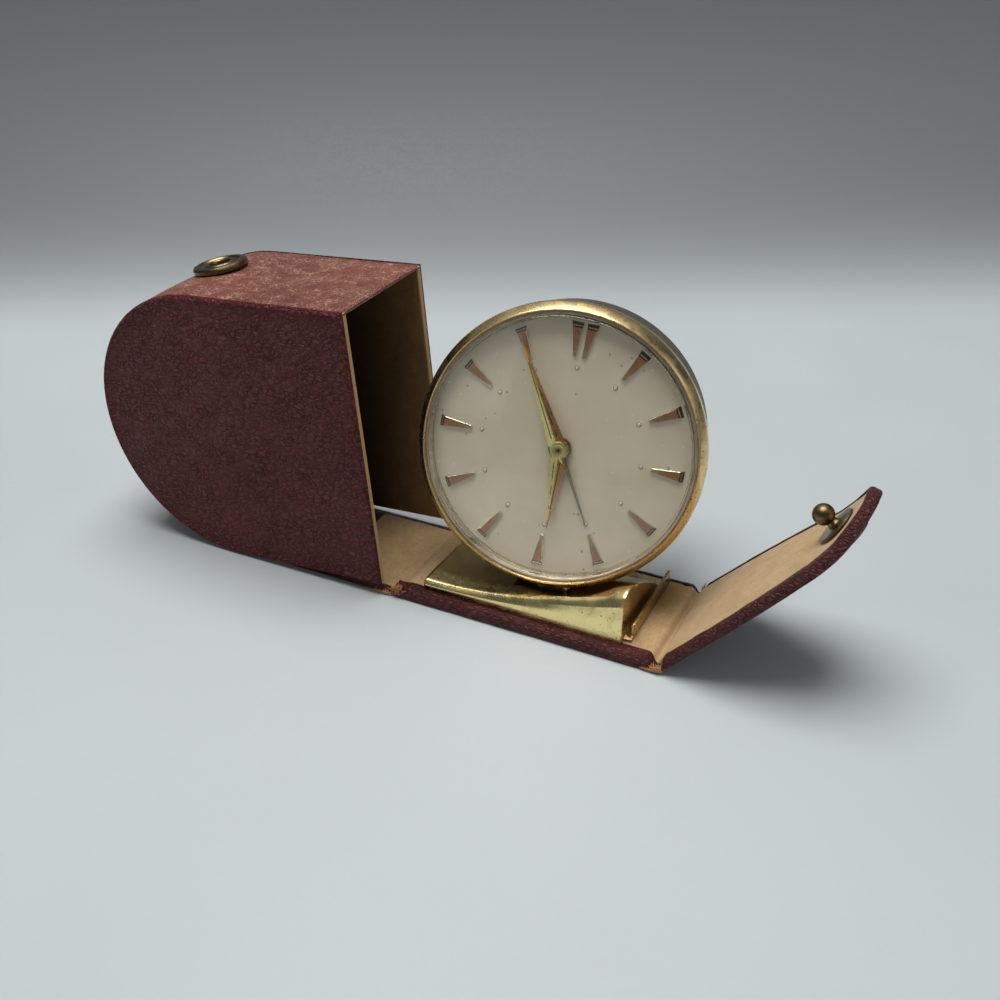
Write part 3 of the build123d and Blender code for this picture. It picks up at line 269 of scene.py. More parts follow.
class Paint:
    """The nodes of one finish or one effect."""

    def __init__(self, tree):
        self.tree = tree

    def fill(self, socket, value):
        if isinstance(value, bpy.types.NodeSocket):
            self.tree.links.new(value, socket)
        elif isinstance(value, tuple) and len(value) == 3 and socket.type == "RGBA":
            socket.default_value = (*value, 1)
        else:
            socket.default_value = value

    def node(self, kind, inputs=None, **settings):
        made = self.tree.nodes.new("ShaderNode" + kind)
        for key, value in settings.items():
            setattr(made, key, value)
        for name, value in (inputs or {}).items():
            self.fill(made.inputs[name], value)
        return made.outputs

    def mix(self, share, first, second):
        """A colour between two others."""
        made = self.tree.nodes.new("ShaderNodeMix")
        made.data_type = "RGBA"
        by_name = {socket.identifier: socket for socket in made.inputs}
        for name, value in (("Factor_Float", share), ("A_Color", first), ("B_Color", second)):
            self.fill(by_name[name], value)
        return next(socket for socket in made.outputs if socket.identifier == "Result_Color")

    def calc(self, operation, *values):
        return self.node("Math", dict(enumerate(values)), operation=operation)["Value"]

    def vectors(self, operation, first, second):
        return self.node("VectorMath", {0: first, 1: second}, operation=operation)["Vector"]

    def times(self, first, second):
        return self.calc("MULTIPLY", first, second)

    def times_plus(self, first, second, third):
        return self.calc("MULTIPLY_ADD", first, second, third)

    def ranged(self, value, low, high, to_low=0.0, to_high=1.0, kind="SMOOTHSTEP"):
        inputs = {
            "Value": value, "From Min": low, "From Max": high, "To Min": to_low, "To Max": to_high,
        }
        return self.node("MapRange", inputs, interpolation_type=kind)["Result"]

    def place(self):
        return self.node("TexCoord")["Object"]

    def axis(self, letter):
        return self.node("SeparateXYZ", {"Vector": self.place()})[letter]

    def attribute(self, name):
        return self.node("Attribute", attribute_name=name)["Fac"]

    def noise(self, scale, detail=4.0, roughness=0.55, distortion=0.0, at=None, out="Fac"):
        inputs = {
            "Vector": self.place() if at is None else at, "Scale": scale, "Detail": detail,
            "Roughness": roughness, "Distortion": distortion,
        }
        return self.node("TexNoise", inputs)[out]

    def cells(self, scale, at, feature="F1"):
        return self.node("TexVoronoi", {"Vector": at, "Scale": scale}, feature=feature)

    def use(self, group, **values):
        made = self.tree.nodes.new("ShaderNodeGroup")
        made.node_tree = group
        for name, value in values.items():
            self.fill(made.inputs[name], value)
        return made.outputs

    def coat(self, colour, rough, height, depth):
        """Feeds the shader's colour and roughness and raises its surface."""
        shader = self.tree.nodes["Principled BSDF"]
        if colour:
            self.fill(shader.inputs["Base Color"], colour)
        if rough:
            self.fill(shader.inputs["Roughness"], rough)
        if height:
            relief = self.node("Bump", {"Height": height, "Distance": depth, "Strength": 1.0})
            self.fill(shader.inputs["Normal"], relief["Normal"])


def effect(name, inputs, outputs):
    """An empty node group with named values in and out."""
    group = bpy.data.node_groups.new(name, "ShaderNodeTree")
    sockets = [(label, "INPUT") for label in inputs] + [(label, "OUTPUT") for label in outputs]
    for label, side in sockets:
        made = group.interface.new_socket(label, in_out=side, socket_type="NodeSocketFloat")
        if side == "INPUT":
            made.default_value = inputs[label]
    entry, leave = group.nodes.new("NodeGroupInput"), group.nodes.new("NodeGroupOutput")
    return group, Paint(group), entry.outputs, leave.inputs


def make_grain():
    """Pebbles parted by soft creases, with pores."""
    inputs, outputs = {"Size": 0.0007, "Stretch": 1.0}, ["Height", "Crease"]
    group, p, given, out = effect("pebble_grain", inputs, outputs)
    scale = p.calc("DIVIDE", 1.0, given["Size"])
    squeeze = {"X": p.calc("DIVIDE", 1.0, given["Stretch"]), "Y": 1.0, "Z": 1.0}
    place = p.vectors("MULTIPLY", p.place(), p.node("CombineXYZ", squeeze)["Vector"])
    warp = p.noise(420.0, 1.5, 0.5, at=place, out="Color")
    spot = p.vectors("ADD", place, p.vectors("MULTIPLY", warp, (0.0019,) * 3))
    distance = p.cells(scale, spot, "DISTANCE_TO_EDGE")["Distance"]
    pebble = p.ranged(distance, 0.0, 0.30, kind="SMOOTHERSTEP")
    small = p.cells(p.times(scale, 2.2), spot, "DISTANCE_TO_EDGE")["Distance"]
    swell = p.noise(p.times(scale, 0.3), 3.0, at=place)
    height = p.times_plus(pebble, 0.62, p.times(p.ranged(small, 0.0, 0.25), 0.16))
    height = p.times_plus(swell, 0.45, height)
    height = p.times_plus(p.noise(9000.0, 2.0, at=place), 0.08, height)
    p.fill(out["Height"], height)
    faint = p.ranged(swell, 0.35, 0.65, 0.25, 1.0)
    p.fill(out["Crease"], p.times(p.ranged(distance, 0.0, 0.2, 1.0, 0.0), faint))
    return group


def make_wear():
    """Where a surface is rubbed: along its outer edges and in scattered patches."""
    inputs = {"Size": 0.004, "Edges": 1.0, "Patches": 0.3}
    group, p, given, out = effect("edge_wear", inputs, ["Worn"])
    edge = p.calc("POWER", p.attribute("edge"), 2.0)
    patch = p.noise(p.calc("DIVIDE", 1.0, given["Size"]), 5.0, 0.65)
    rough = p.times_plus(patch, 0.75, p.times(p.noise(3000.0, 3.0, 0.7), 0.35))
    rubbed = p.times(p.times(edge, given["Edges"]), 0.6)
    total = p.calc("ADD", rubbed, p.times(given["Patches"], 0.4))
    p.fill(out["Worn"], p.ranged(p.calc("ADD", rough, total), 0.92, 1.22))
    return group


def make_specks():
    """Scattered dots such as pits, dust and spots of tarnish."""
    group, p, given, out = effect("specks", {"Size": 0.0008, "Share": 0.3}, ["Speck"])
    cells = p.cells(p.calc("DIVIDE", 1.0, given["Size"]), p.place())
    chance = p.node("SeparateColor", {"Color": cells["Color"]})
    near = p.calc("SUBTRACT", p.times(chance["Red"], 0.42), cells["Distance"])
    picked = p.calc("LESS_THAN", chance["Green"], given["Share"])
    p.fill(out["Speck"], p.times(p.ranged(near, 0.0, 0.12), picked))
    return group


def make_brushing():
    """Fine lines that run round the clock's axis, and how far out from it a point is."""
    group, p, given, out = effect("turned_lines", {"Fine": 9000.0, "Way": 1.0}, ["Line", "Ring"])
    shift, turn, _ = FACE.inverted().decompose()
    local = {"Vector": p.place(), "Location": shift * MM, "Rotation": turn.to_euler()}
    axes = p.node("SeparateXYZ", {"Vector": p.node("Mapping", local)["Vector"]})
    x, y = axes["X"], axes["Y"]
    radius = p.calc("SQRT", p.times_plus(x, x, p.times(y, y)))
    depth, bearing = p.calc("ADD", radius, axes["Z"]), p.calc("ARCTAN2", y, x)
    lined = {"X": p.times(depth, given["Fine"]), "Y": p.times(bearing, given["Way"])}
    p.fill(out["Line"], p.noise(1.0, 3.0, 0.7, at=p.node("CombineXYZ", lined)["Vector"]))
    p.fill(out["Ring"], radius)
    return group


def make_nap():
    """Short soft fibres and blotches, as on suede."""
    group, p, given, out = effect("suede_nap", {"Size": 0.0003}, ["Height", "Blotch"])
    p.fill(out["Height"], p.noise(p.calc("DIVIDE", 1.0, given["Size"]), 5.0, 0.75))
    p.fill(out["Blotch"], p.noise(180.0, 4.0, 0.6, 0.8))
    return group


GRAIN, WEAR, SPECKS = make_grain(), make_wear(), make_specks()
LINES, NAP = make_brushing(), make_nap()


def finish_of(name, **plain):
    """A material and its paint, with the plain values on the shader's own sockets."""
    material = bpy.data.materials.new(name)
    material.use_nodes = True
    p = Paint(material.node_tree)
    for label, value in plain.items():
        p.fill(p.tree.nodes["Principled BSDF"].inputs[label.replace("_", " ")], value)
    return material, p


def leather_finish(
    name, deep, light, worn, size, depth, stretch=1.0, rubbed=0.3, relief=0.35, gully=None,
):
    """Pebbled leather with rubbed crests, a painted highlight on its pebble tops and painted shade
    in its creases, unless the creases are given a colour of their own.
    """
    material, p = finish_of(name, Specular_IOR_Level=0.24)
    grain = p.use(GRAIN, Size=size, Stretch=stretch)
    rub = p.use(WEAR, Size=0.006, Edges=0.5 + rubbed, Patches=rubbed)["Worn"]
    tone = p.mix(p.ranged(p.noise(60.0, 4.0, 0.6), 0.3, 0.75), deep, light)
    # Painted highlight: the pebble tops are lightened.
    ridge = p.times(p.ranged(grain["Height"], 0.55, 1.1), relief)
    tone = p.mix(ridge, tone, tuple(c * 1.6 + 0.003 for c in light))
    # Painted shade: the creases are darkened, unless a gully colour of their own is given.
    crease = p.times(grain["Crease"], 0.45 + 0.5 * relief)
    tone = p.mix(crease, tone, gully or tuple(c * 0.28 for c in deep))
    crest = p.times(rub, p.ranged(grain["Height"], 0.35, 0.9, 0.35, 1.0))
    rough = p.times_plus(rub, 0.18, p.ranged(grain["Crease"], 0.0, 1.0, 0.36, 0.6))
    p.coat(p.mix(crest, tone, worn), rough, grain["Height"], depth)
    return material


def suede_finish(name, dark, light, stain, shaded_inside=False):
    """Napped suede; the cover's has painted shade that darkens it deep inside, and is pale along
    its cut edges.
    """
    material, p = finish_of(
        name, Roughness=0.92, Specular_IOR_Level=0.2, Sheen_Weight=0.25, Sheen_Roughness=0.5,
    )
    nap = p.use(NAP, Size=0.0004)
    tone = p.mix(p.ranged(nap["Blotch"], 0.15, 0.85), dark, light)
    spots = (
        (p.ranged(p.noise(1300.0, 4.0, 0.7), 0.42, 0.72), 0.3),
        (p.ranged(nap["Height"], 0.45, 0.75), 0.4),
        (p.use(SPECKS, Size=0.0016, Share=0.12)["Speck"], 0.4),
    )
    for spot, share in spots:
        tone = p.mix(p.times(spot, share), tone, stain)
    if shaded_inside:
        # Painted shade: darker the deeper inside the cover, away from its mouth.
        tone = p.mix(p.ranged(p.axis("X"), -0.034, -0.058), tone, tuple(c * 0.35 for c in stain))
        edge = p.times(p.attribute("edge"), 0.8)
        tone = p.mix(edge, tone, tuple(min(c * 1.9, 0.7) for c in light))
    p.coat(tone, None, nap["Height"], 0.00012)
    return material


def metal_finish(name, colour, dull, roughness, pits, pit_size, lines, patches, shade_brown=None):
    """Worn metal with pits and dull patches; the foot's has painted shade, a darker colour behind
    its bright front band.
    """
    material, p = finish_of(name, Metallic=1.0)
    rub = p.use(WEAR, Size=0.005, Edges=0.3, Patches=patches)["Worn"]
    speck = p.use(SPECKS, Size=pit_size, Share=pits)["Speck"]
    broad = p.noise(240.0, 5.0, 0.65)
    stained = p.calc("MAXIMUM", speck, p.times(p.ranged(broad, 0.45, 0.8), patches))
    tone = p.mix(stained, colour, dull)
    grade = p.ranged(broad, 0.3, 0.8, roughness * 0.8, roughness * 1.35)
    if shade_brown:
        # Painted shade: the foot darkens from its front band back over its top.
        top_shade = p.ranged(p.times_plus(broad, 0.0045, p.axis("Y")), -0.0078, -0.0052)
        tone = p.mix(p.times(top_shade, 0.85), tone, shade_brown)
        grade = p.times_plus(top_shade, 0.16, grade)
    grade = p.times_plus(rub, 0.05, p.times_plus(stained, 0.25, grade))
    height = p.times(speck, -0.6)
    if lines:
        height = p.times_plus(p.use(LINES, Fine=14000.0, Way=2.0)["Line"], lines, height)
    p.coat(tone, grade, p.times_plus(broad, 0.3, height), 0.00002)
    return material


def hand_finish():
    """Pale gold on one facet of a hand, and a painted copper reflection on the other."""
    material, p = finish_of("hand_gold_painted_copper", Metallic=1.0)
    grit = p.noise(2200.0, 4.0, 0.7)
    # Painted reflection: the facet picked by the side attribute is turned copper.
    tone = p.mix(p.ranged(p.attribute("side"), 0.48, 0.6), (0.86, 0.76, 0.30), (0.66, 0.33, 0.12))
    tone = p.mix(p.ranged(grit, 0.52, 0.8), tone, (0.40, 0.24, 0.08))
    p.coat(tone, p.ranged(grit, 0.3, 0.7, 0.24, 0.4), grit, 0.000008)
    return material


def marker_finish():
    """Copper that pales to gold towards a marker's narrow end."""
    material, p = finish_of("marker_copper", Metallic=1.0)
    reach = p.use(LINES, Fine=400.0, Way=1.0)["Ring"]
    grit = p.noise(2600.0, 4.0, 0.7)
    tone = p.mix(p.ranged(reach, 0.0185, 0.0222), (0.66, 0.54, 0.27), (0.62, 0.31, 0.16))
    tone = p.mix(p.ranged(grit, 0.48, 0.72), tone, (0.36, 0.19, 0.085))
    p.coat(tone, p.ranged(grit, 0.3, 0.7, 0.26, 0.42), grit, 0.00001)
    return material


def dial_paint():
    material, p = finish_of("dial_paint", Specular_IOR_Level=0.45)
    grit = p.noise(5200.0, 2.0, 0.6)
    broad = p.ranged(p.noise(70.0, 4.0, 0.6), 0.3, 0.75)
    tone = p.mix(broad, (0.63, 0.55, 0.405), (0.70, 0.62, 0.465))
    # Painted shade: the dial darkens in a ring towards its rim, under the bezel.
    rim = p.ranged(p.use(LINES, Fine=400.0, Way=1.0)["Ring"], 0.0225, 0.0275)
    tone = p.mix(p.times(rim, 0.45), tone, (0.50, 0.43, 0.30))
    dust, dirt = (0.0008, 0.4, (0.9, 0.86, 0.76)), (0.0009, 0.6, (0.22, 0.17, 0.11))
    for size, share, colour in (dust, dirt):
        tone = p.mix(p.times(p.use(SPECKS, Size=size, Share=0.05)["Speck"], share), tone, colour)
    p.coat(tone, p.ranged(grit, 0.3, 0.7, 0.38, 0.5), grit, 0.000006)
    return material


def clear_glass():
    material, p = finish_of(
        "clear_crystal", IOR=1.49, Transmission_Weight=1.0, Base_Color=(0.98, 0.985, 0.98),
    )
    path = p.node("LightPath")
    passing = p.calc("MAXIMUM", path["Is Shadow Ray"], path["Is Diffuse Ray"])
    alpha = p.calc("SUBTRACT", 1.0, p.times(passing, 0.94))
    p.fill(p.tree.nodes["Principled BSDF"].inputs["Alpha"], alpha)
    p.coat(None, p.ranged(p.noise(900.0, 3.0, 0.6), 0.35, 0.8, 0.0, 0.05), None, 0)
    return material


def bead_paint():
    material, p = finish_of("bead_paint", Roughness=0.5)
    blotch = p.noise(2600.0, 3.0)
    p.coat(p.mix(blotch, (0.52, 0.49, 0.36), (0.74, 0.72, 0.58)), None, blotch, 0.00003)
    return material


def table_paint():
    """The pale floor, with painted shade that darkens it as it climbs into the backdrop."""
    material, p = finish_of("table_paint", Specular_IOR_Level=0.35)
    fine, broad = p.noise(900.0, 4.0, 0.7), p.noise(5.0, 3.0)
    tone = p.mix(p.ranged(broad, 0.3, 0.7), (0.50, 0.545, 0.565), (0.54, 0.585, 0.605))
    tone = p.mix(p.times(fine, 0.10), tone, (0.42, 0.46, 0.48))
    # Painted shade: darker the higher the backdrop rises.
    backdrop_shade = p.times(p.calc("MAXIMUM", p.axis("Z"), 0.0), -125.0)
    tone = p.mix(p.calc("POWER", 2.718, backdrop_shade), (0.155, 0.168, 0.180), tone)
    p.coat(tone, p.ranged(fine, 0.3, 0.7, 0.5, 0.62), fine, 0.00003)
    # A view from behind looks through the backdrop's rear.
    rear = p.times(p.node("NewGeometry")["Backfacing"], p.node("LightPath")["Is Camera Ray"])
    painted = p.tree.nodes["Principled BSDF"].outputs["BSDF"]
    surface = p.node("MixShader", {0: rear, 1: painted, 2: p.node("BsdfTransparent")["BSDF"]})
    end = next(n for n in p.tree.nodes if n.type == "OUTPUT_MATERIAL")
    p.fill(end.inputs["Surface"], surface["Shader"])
    return material


# Name, colour, dull colour, roughness, share and size of pits, turned lines, dull patches, painted
# shade colour.
METALS = (
    ("foot_brass", (0.96, 0.80, 0.38), (0.26, 0.15, 0.05), 0.27, 0.2, 0.0005, 0.0, 0.45,
     (0.40, 0.245, 0.085)),
    ("tray_brass", (0.52, 0.37, 0.16), (0.17, 0.095, 0.035), 0.27, 0.3, 0.0006, 0.0, 0.8),
    ("bezel_brass", (0.90, 0.68, 0.34), (0.30, 0.16, 0.05), 0.27, 0.55, 0.0005, 0.0, 0.45),
    ("bezel_lip", (0.80, 0.68, 0.56), (0.42, 0.33, 0.24), 0.34, 0.2, 0.0004, 0.0, 0.3),
    ("aged_brass", (0.21, 0.155, 0.08), (0.075, 0.05, 0.025), 0.34, 0.45, 0.0005, 0.0, 0.7),
    ("drum_metal", (0.22, 0.205, 0.155), (0.10, 0.09, 0.06), 0.5, 0.3, 0.0004, 2.4, 0.5),
    ("back_metal", (0.62, 0.52, 0.30), (0.30, 0.23, 0.12), 0.33, 0.14, 0.0007, 0.7, 0.3),
    ("ring_silver", (0.70, 0.67, 0.55), (0.36, 0.30, 0.18), 0.27, 0.16, 0.0006, 0.3, 0.3),
    ("marker_silver", (0.82, 0.79, 0.72), (0.45, 0.38, 0.28), 0.22, 0.1, 0.0004, 0.0, 0.2),
    # Painted shade for the markers' steep outer ends.
    ("marker_end", (0.16, 0.13, 0.09), (0.05, 0.04, 0.03), 0.3, 0.1, 0.0004, 0.0, 0.2),
    ("alarm_hand", (0.34, 0.30, 0.20), (0.16, 0.13, 0.08), 0.34, 0.2, 0.0004, 0.0, 0.3),
    ("dark_steel", (0.085, 0.07, 0.05), (0.03, 0.02, 0.015), 0.34, 0.2, 0.0004, 0.0, 0.3),
    ("plain_steel", (0.58, 0.57, 0.55), (0.25, 0.22, 0.18), 0.28, 0.12, 0.0006, 0.0, 0.3),
    ("movement_brass", (0.74, 0.57, 0.27), (0.34, 0.22, 0.09), 0.27, 0.12, 0.0006, 0.3, 0.25),
    ("key_brass", (0.76, 0.58, 0.26), (0.32, 0.2, 0.08), 0.24, 0.18, 0.0006, 0.0, 0.35),
)
# Each finish under the slot that wears it, or under its own name.
FINISHES = {row[0]: metal_finish(*row) for row in METALS}
FINISHES.update({
    "leather": leather_finish(
        "oxblood_leather", (0.060, 0.0125, 0.0125), (0.100, 0.021, 0.020), (0.24, 0.085, 0.062),
        0.0007, 0.0003, 2.2, 0.12),
    "cover_leather": leather_finish(
        "cover_leather", (0.098, 0.0160, 0.0155), (0.145, 0.0245, 0.0230), (0.30, 0.105, 0.066),
        0.00088, 0.0007, 1.7, 0.10, 0.44),
    "top_leather": leather_finish(
        "rubbed_top_leather", (0.165, 0.040, 0.029), (0.26, 0.08, 0.058), (0.48, 0.27, 0.195),
        0.00090, 0.0006, 1.3, 0.52, gully=(0.52, 0.33, 0.25)),
    "strap_leather": leather_finish(
        "strap_leather_skin", (0.036, 0.010, 0.010), (0.08, 0.022, 0.018), (0.18, 0.06, 0.04),
        0.0008, 0.00012),
    "lining": suede_finish(
        "tan_suede", (0.45, 0.29, 0.135), (0.60, 0.415, 0.215), (0.27, 0.155, 0.065)),
    # Painted shade: the cover's lining is the tan suede made darker, as the inside of the cover
    # lies in shade.
    "cover_suede": suede_finish(
        "cover_suede", (0.24, 0.13, 0.045), (0.34, 0.20, 0.08), (0.13, 0.07, 0.024), True),
    "fibre": suede_finish(
        "frayed_fibre", (0.50, 0.20, 0.075), (0.72, 0.40, 0.18), (0.24, 0.08, 0.03)),
    "board": suede_finish("stiff_card", (0.30, 0.23, 0.15), (0.42, 0.33, 0.23), (0.2, 0.14, 0.09)),
    "markers": marker_finish(), "hands": hand_finish(), "dial_face": dial_paint(),
    "crystal": clear_glass(), "lume": bead_paint(),
    "inner_ring": FINISHES["ring_silver"], "steel": FINISHES["plain_steel"],
})


# Case: base and flap in one skin of leather
CASE_HALF, SKIN_END = 14.65, 30.2
SKIN_LEVEL = 0.45
BORDER, BORDER_SHARE, EDGE_SHARE = 1.65, 0.12, 0.06
EDGE_ROUND = 1.3
FLAP_STRAIGHT, FLAP_BEND, FLAP_REACH = 38.0, 34.0, 53.9
FOLD_RUN = 1.7
FLAP_HALVES = [
    (0, 14.65), (10, 14.35), (20, 13.85), (26, 13.2), (32, 12.35), (38, 11.2), (44, 9.55),
    (48, 7.8), (51.0, 5.9), (52.4, 4.6), (53.3, 3.3), (53.75, 2.2), (53.9, 1.3),
]
LINING_HALVES = [(47, 6.4), (50, 4.5), (51.4, 3.1), (52.1, 1.9), (52.5, 0.9)]


def flap_point(along, across, level):
    """A point of the flap, along its skin, across it and up from its middle sheet."""
    x, z = along, level
    if along > FLAP_STRAIGHT:
        bend = (along - FLAP_STRAIGHT) / FLAP_BEND
        x = FLAP_STRAIGHT + (FLAP_BEND - level) * math.sin(bend)
        z = FLAP_BEND - (FLAP_BEND - level) * math.cos(bend)
    x, z = flap_cos * x - flap_sin * z, flap_sin * x + flap_cos * z
    return Vector((HINGE_X + x, across, HINGE_Z + z))


def skin_point(run, across, level):
    """A point of the skin that lies under base and flap; level 0 is its middle sheet."""
    if run <= HINGE_X - FOLD_RUN:
        return Vector((run, across, SKIN_LEVEL + level))
    if run >= HINGE_X + FOLD_RUN:
        return flap_point(run - HINGE_X, across, level)
    share = (run - HINGE_X + FOLD_RUN) / (2 * FOLD_RUN)
    start = Vector((HINGE_X - FOLD_RUN, 0, SKIN_LEVEL))
    knee = Vector((HINGE_X, 0, 0.48))
    end = Vector((HINGE_X + FOLD_RUN * flap_cos, 0, HINGE_Z + FOLD_RUN * flap_sin))
    spot = start.lerp(knee, share).lerp(knee.lerp(end, share), share)
    way = (knee - start).lerp(end - knee, share).normalized()
    return spot + Vector((0, across, 0)) + Vector((-way.z, 0, way.x)) * level


def skin_half(run):
    """Half the width of the skin at a place along it."""
    return CASE_HALF if run < HINGE_X else along_table(FLAP_HALVES, run - HINGE_X)


def border_wide(run):
    """Width of the turned border at the front, wide on the base and towards the tip."""
    if run < HINGE_X:
        return lerp(1.9, 3.15, smooth((HINGE_X - 0.3 - run) / 3.0))
    return lerp(1.9, 2.9, smooth((run - HINGE_X - 8) / 34))


def border_rise(run):
    """How far the turned border stands over the skin's middle, thin at the fold."""
    if run < HINGE_X:
        drop = lerp(1, 0.86, smooth((-26.5 - run) / 2.5))
        return lerp(0.5, 2.55, smooth((HINGE_X - 0.6 - run) / 2.2)) * drop
    return lerp(0.5, 2.05, smooth((run - HINGE_X - 0.5) / 3.0))


def skin_cuts(start, end, fine_at=(), step=0.8, fine=0.22, near=2.6):
    """Even places along a run, closer together near a fold."""
    places, place = [], start
    while place < end:
        place += fine if any(abs(place - spot) < near for spot in fine_at) else step
        if place < end - 0.05:
            places.append((place - start) / (end - start))
    return places


def from_side(share, width, fade):
    """1 at both sides of a sheet, fading to 0 further in."""
    return 1 - smooth(min(share, 1 - share) * width / fade)


def case_skin():
    low_end, high_end = -SKIN_END, HINGE_X + FLAP_REACH
    front, back = BORDER_SHARE, 1 - EDGE_SHARE

    def place_of(s, t, k):
        run = lerp(low_end, high_end, s)
        half = skin_half(run) + ripple(run, 0, 9, 0.16, 2.0 if t > 0.5 else 7.0)
        front_edge = min(border_wide(run), half * 0.6) - half
        back_edge = half - min(BORDER, half * 0.4)
        if t <= front:
            across = lerp(-half, front_edge, t / front)
        elif t < back:
            across = lerp(front_edge, back_edge, (t - front) / (back - front))
        else:
            across = lerp(back_edge, half, (t - back) / (1 - back))
        from_tip = high_end - run
        turned = t <= front or t >= back or from_tip < BORDER
        roll = max(0.0, EDGE_ROUND - half + abs(across))
        rounded = EDGE_ROUND - math.sqrt(max(EDGE_ROUND ** 2 - roll * roll, 0.0))
        rounded += 0.35 * (1 - smooth(from_tip / 0.5))
        rounded *= 0.9 if turned and t < 0.5 else 0.6
        low = -SKIN_LEVEL + min(rounded, 0.5) * 0.8
        top = border_rise(run) if turned else SKIN_LEVEL
        level = lerp(low, max(top - rounded, low + 0.25), k)
        if k > 0.9 and turned:
            level += ripple(run, across, 3.5, 0.10, 5.0)
        return skin_point(run, across, level)

    across_cuts = [0.008, 0.02, 0.04, 0.07, 0.1, front - 0.008, front, front + 0.006]
    across_cuts += even(front + 0.006, back - 0.006, 0.055)
    across_cuts += [back - 0.006, back, back + 0.01, 0.965, 0.98, 0.992]
    run_cuts = skin_cuts(low_end, high_end, (HINGE_X, high_end))
    return shaped(place_of, run_cuts, across_cuts, [0.35, 0.7])


def lining_sheet():
    """The suede on base and flap, let in between the turned borders."""
    low_end, high_end = -29.9, HINGE_X + FLAP_REACH - 1.5

    def place_of(s, t, k):
        run = lerp(low_end, high_end, s)
        half = skin_half(run) - BORDER + 0.14
        front = skin_half(run) - border_wide(run) + 0.14
        if run > HINGE_X + 47:
            half = min(half, along_table(LINING_HALVES, run - HINGE_X))
        front = max(min(front, half), -half * 0.5)
        across = lerp(-front, half, t)
        top = lerp(1.15, 2.53 if run < HINGE_X else 2.02, smooth((abs(run - HINGE_X) - 0.3) / 2.4))
        top = lerp(0.75, top, smooth((run - low_end) / 2.6))
        if run < HINGE_X + 0.5:
            top -= 0.28 * bump(run, 26.9, 0.35)
        if run > 25:
            top += ripple(run, across, 4.0, 0.09, 11.0)
        top -= 0.2 * from_side(t, front + half, 0.5)
        return skin_point(run, across, lerp(0.42 if abs(run) < 30.5 else 0.4, top, k))

    cuts = skin_cuts(low_end, high_end, (HINGE_X, high_end), near=3.4)
    return shaped(place_of, cuts, even(0, 1, 0.035), [0.5])


# Strap under the cover


def strap_skin():
    def place_of(s, t, k):
        x = lerp(-29.4, -57.2, s)
        half = 14.3 + ripple(x, 0, 6, 0.12, 3.0 if t > 0.5 else 8.0)
        edge = from_side(t, 2 * half, 0.5)
        return Vector((x, (2 * t - 1) * half, lerp(0.05 + 0.2 * edge, 0.93 - 0.25 * edge, k)))

    return shaped(place_of, skin_cuts(0, 27.8, step=0.7), even(0, 1, 0.04), [0.5])


def strap_suede():
    def place_of(s, t, k):
        x = lerp(-28.9, -48.9, s)
        half = 12.6 + ripple(x, 1, 5, 0.15, 4.0)
        y = (2 * t - 1) * half
        top = lerp(0.95, 1.34, smooth((-28.9 - x) / 1.6))
        top += ripple(x, y, 4, 0.06, 2.0) - 0.15 * from_side(t, 2 * half, 0.4)
        return Vector((x, y, lerp(0.7, top, k)))

    return shaped(place_of, skin_cuts(0, 20.5, step=0.6), even(0, 1, 0.04), [0.5])


# Cover: two arched panels and the wall between them
COVER_TALL, COVER_RUN, ARCH = 62.8, 38.3, 31.4
PANEL_OUT, PANEL_FACE, SUEDE_FACE, PANEL_IN = 15.85, 14.85, 14.9, 13.75
WALL_START, WALL_HALF, WALL_THICK = 23.8, 14.95, 1.3
WALL_TURN = HALF_TURN * ARCH
WALL_LENGTH = (COVER_RUN - WALL_START) + WALL_TURN + COVER_RUN
ALONG, UP = Vector((1, 0, 0)), Vector((0, 1, 0))


def arch_outline(inset, start, steps=72):
    """The arched outline of the cover, turned by a spin from one vertex."""
    bm = bmesh.new()
    first = bm.verts.new((COVER_RUN, inset, 0))
    bmesh.ops.spin(
        bm, geom=[first], cent=(COVER_RUN, ARCH, 0), axis=(0, 0, 1), angle=HALF_TURN, steps=steps,
    )
    points = [(v.co.x, v.co.y) for v in bm.verts]
    bm.free()
    points.sort(key=lambda p: math.atan2(p[1] - ARCH, p[0] - COVER_RUN))
    return [(start, inset)] + points + [(start, COVER_TALL - inset)]


def cover_panel(side):
    """A padded panel of leather, sunk a little along its rim."""
    outer = side * PANEL_OUT
    bm = extruded(arch_outline(0.22, 0), outer, side * PANEL_FACE)
    soften(bm, 0.95, 6, 50, lambda e: all(abs(v.co.z - outer) < 0.01 for v in e.verts))
    slice_at(bm, ALONG, even(0.8, 69, 1.5))
    slice_at(bm, UP, even(0.8, 62, 1.5))
    for vert in bm.verts:
        if abs(vert.co.z - outer) > 0.02:
            continue
        x, y = vert.co.x, vert.co.y
        in_arch = ARCH - math.hypot(max(x - COVER_RUN, 0), y - ARCH)
        from_rim = min(in_arch, x) if x < COVER_RUN else in_arch
        pillow = 0.10 * smooth(from_rim / 7.0) - 0.16 * bump(from_rim, 2.6, 1.1)
        vert.co.z += side * (pillow - 0.1 + ripple(x, y, 14, 0.10, 4.0 + side))
    return bm


def suede_panel(side):
    bm = extruded(arch_outline(0.55, 0.02), side * SUEDE_FACE, side * (PANEL_IN - 0.03))
    soften(bm, 0.12, 2, 50)
    slice_at(bm, ALONG, [0.35, 0.7] + even(0.8, 69, 3.0))
    slice_at(bm, UP, [1.0, 1.3] + even(1.4, 61.4, 3.0) + [61.5, 61.8])
    return bm


def wall_point(run, across, inward):
    """A point of the band that goes under, round the arch and back over the top."""
    if run < COVER_RUN - WALL_START:
        return Vector((WALL_START + run, inward, across))
    run -= COVER_RUN - WALL_START
    if run < WALL_TURN:
        angle = -HALF_TURN / 2 + run / ARCH
        radius = ARCH - inward
        x, y = radius * math.cos(angle), radius * math.sin(angle)
        return Vector((COVER_RUN + x, ARCH + y, across))
    return Vector((COVER_RUN - run + WALL_TURN, COVER_TALL - inward, across))


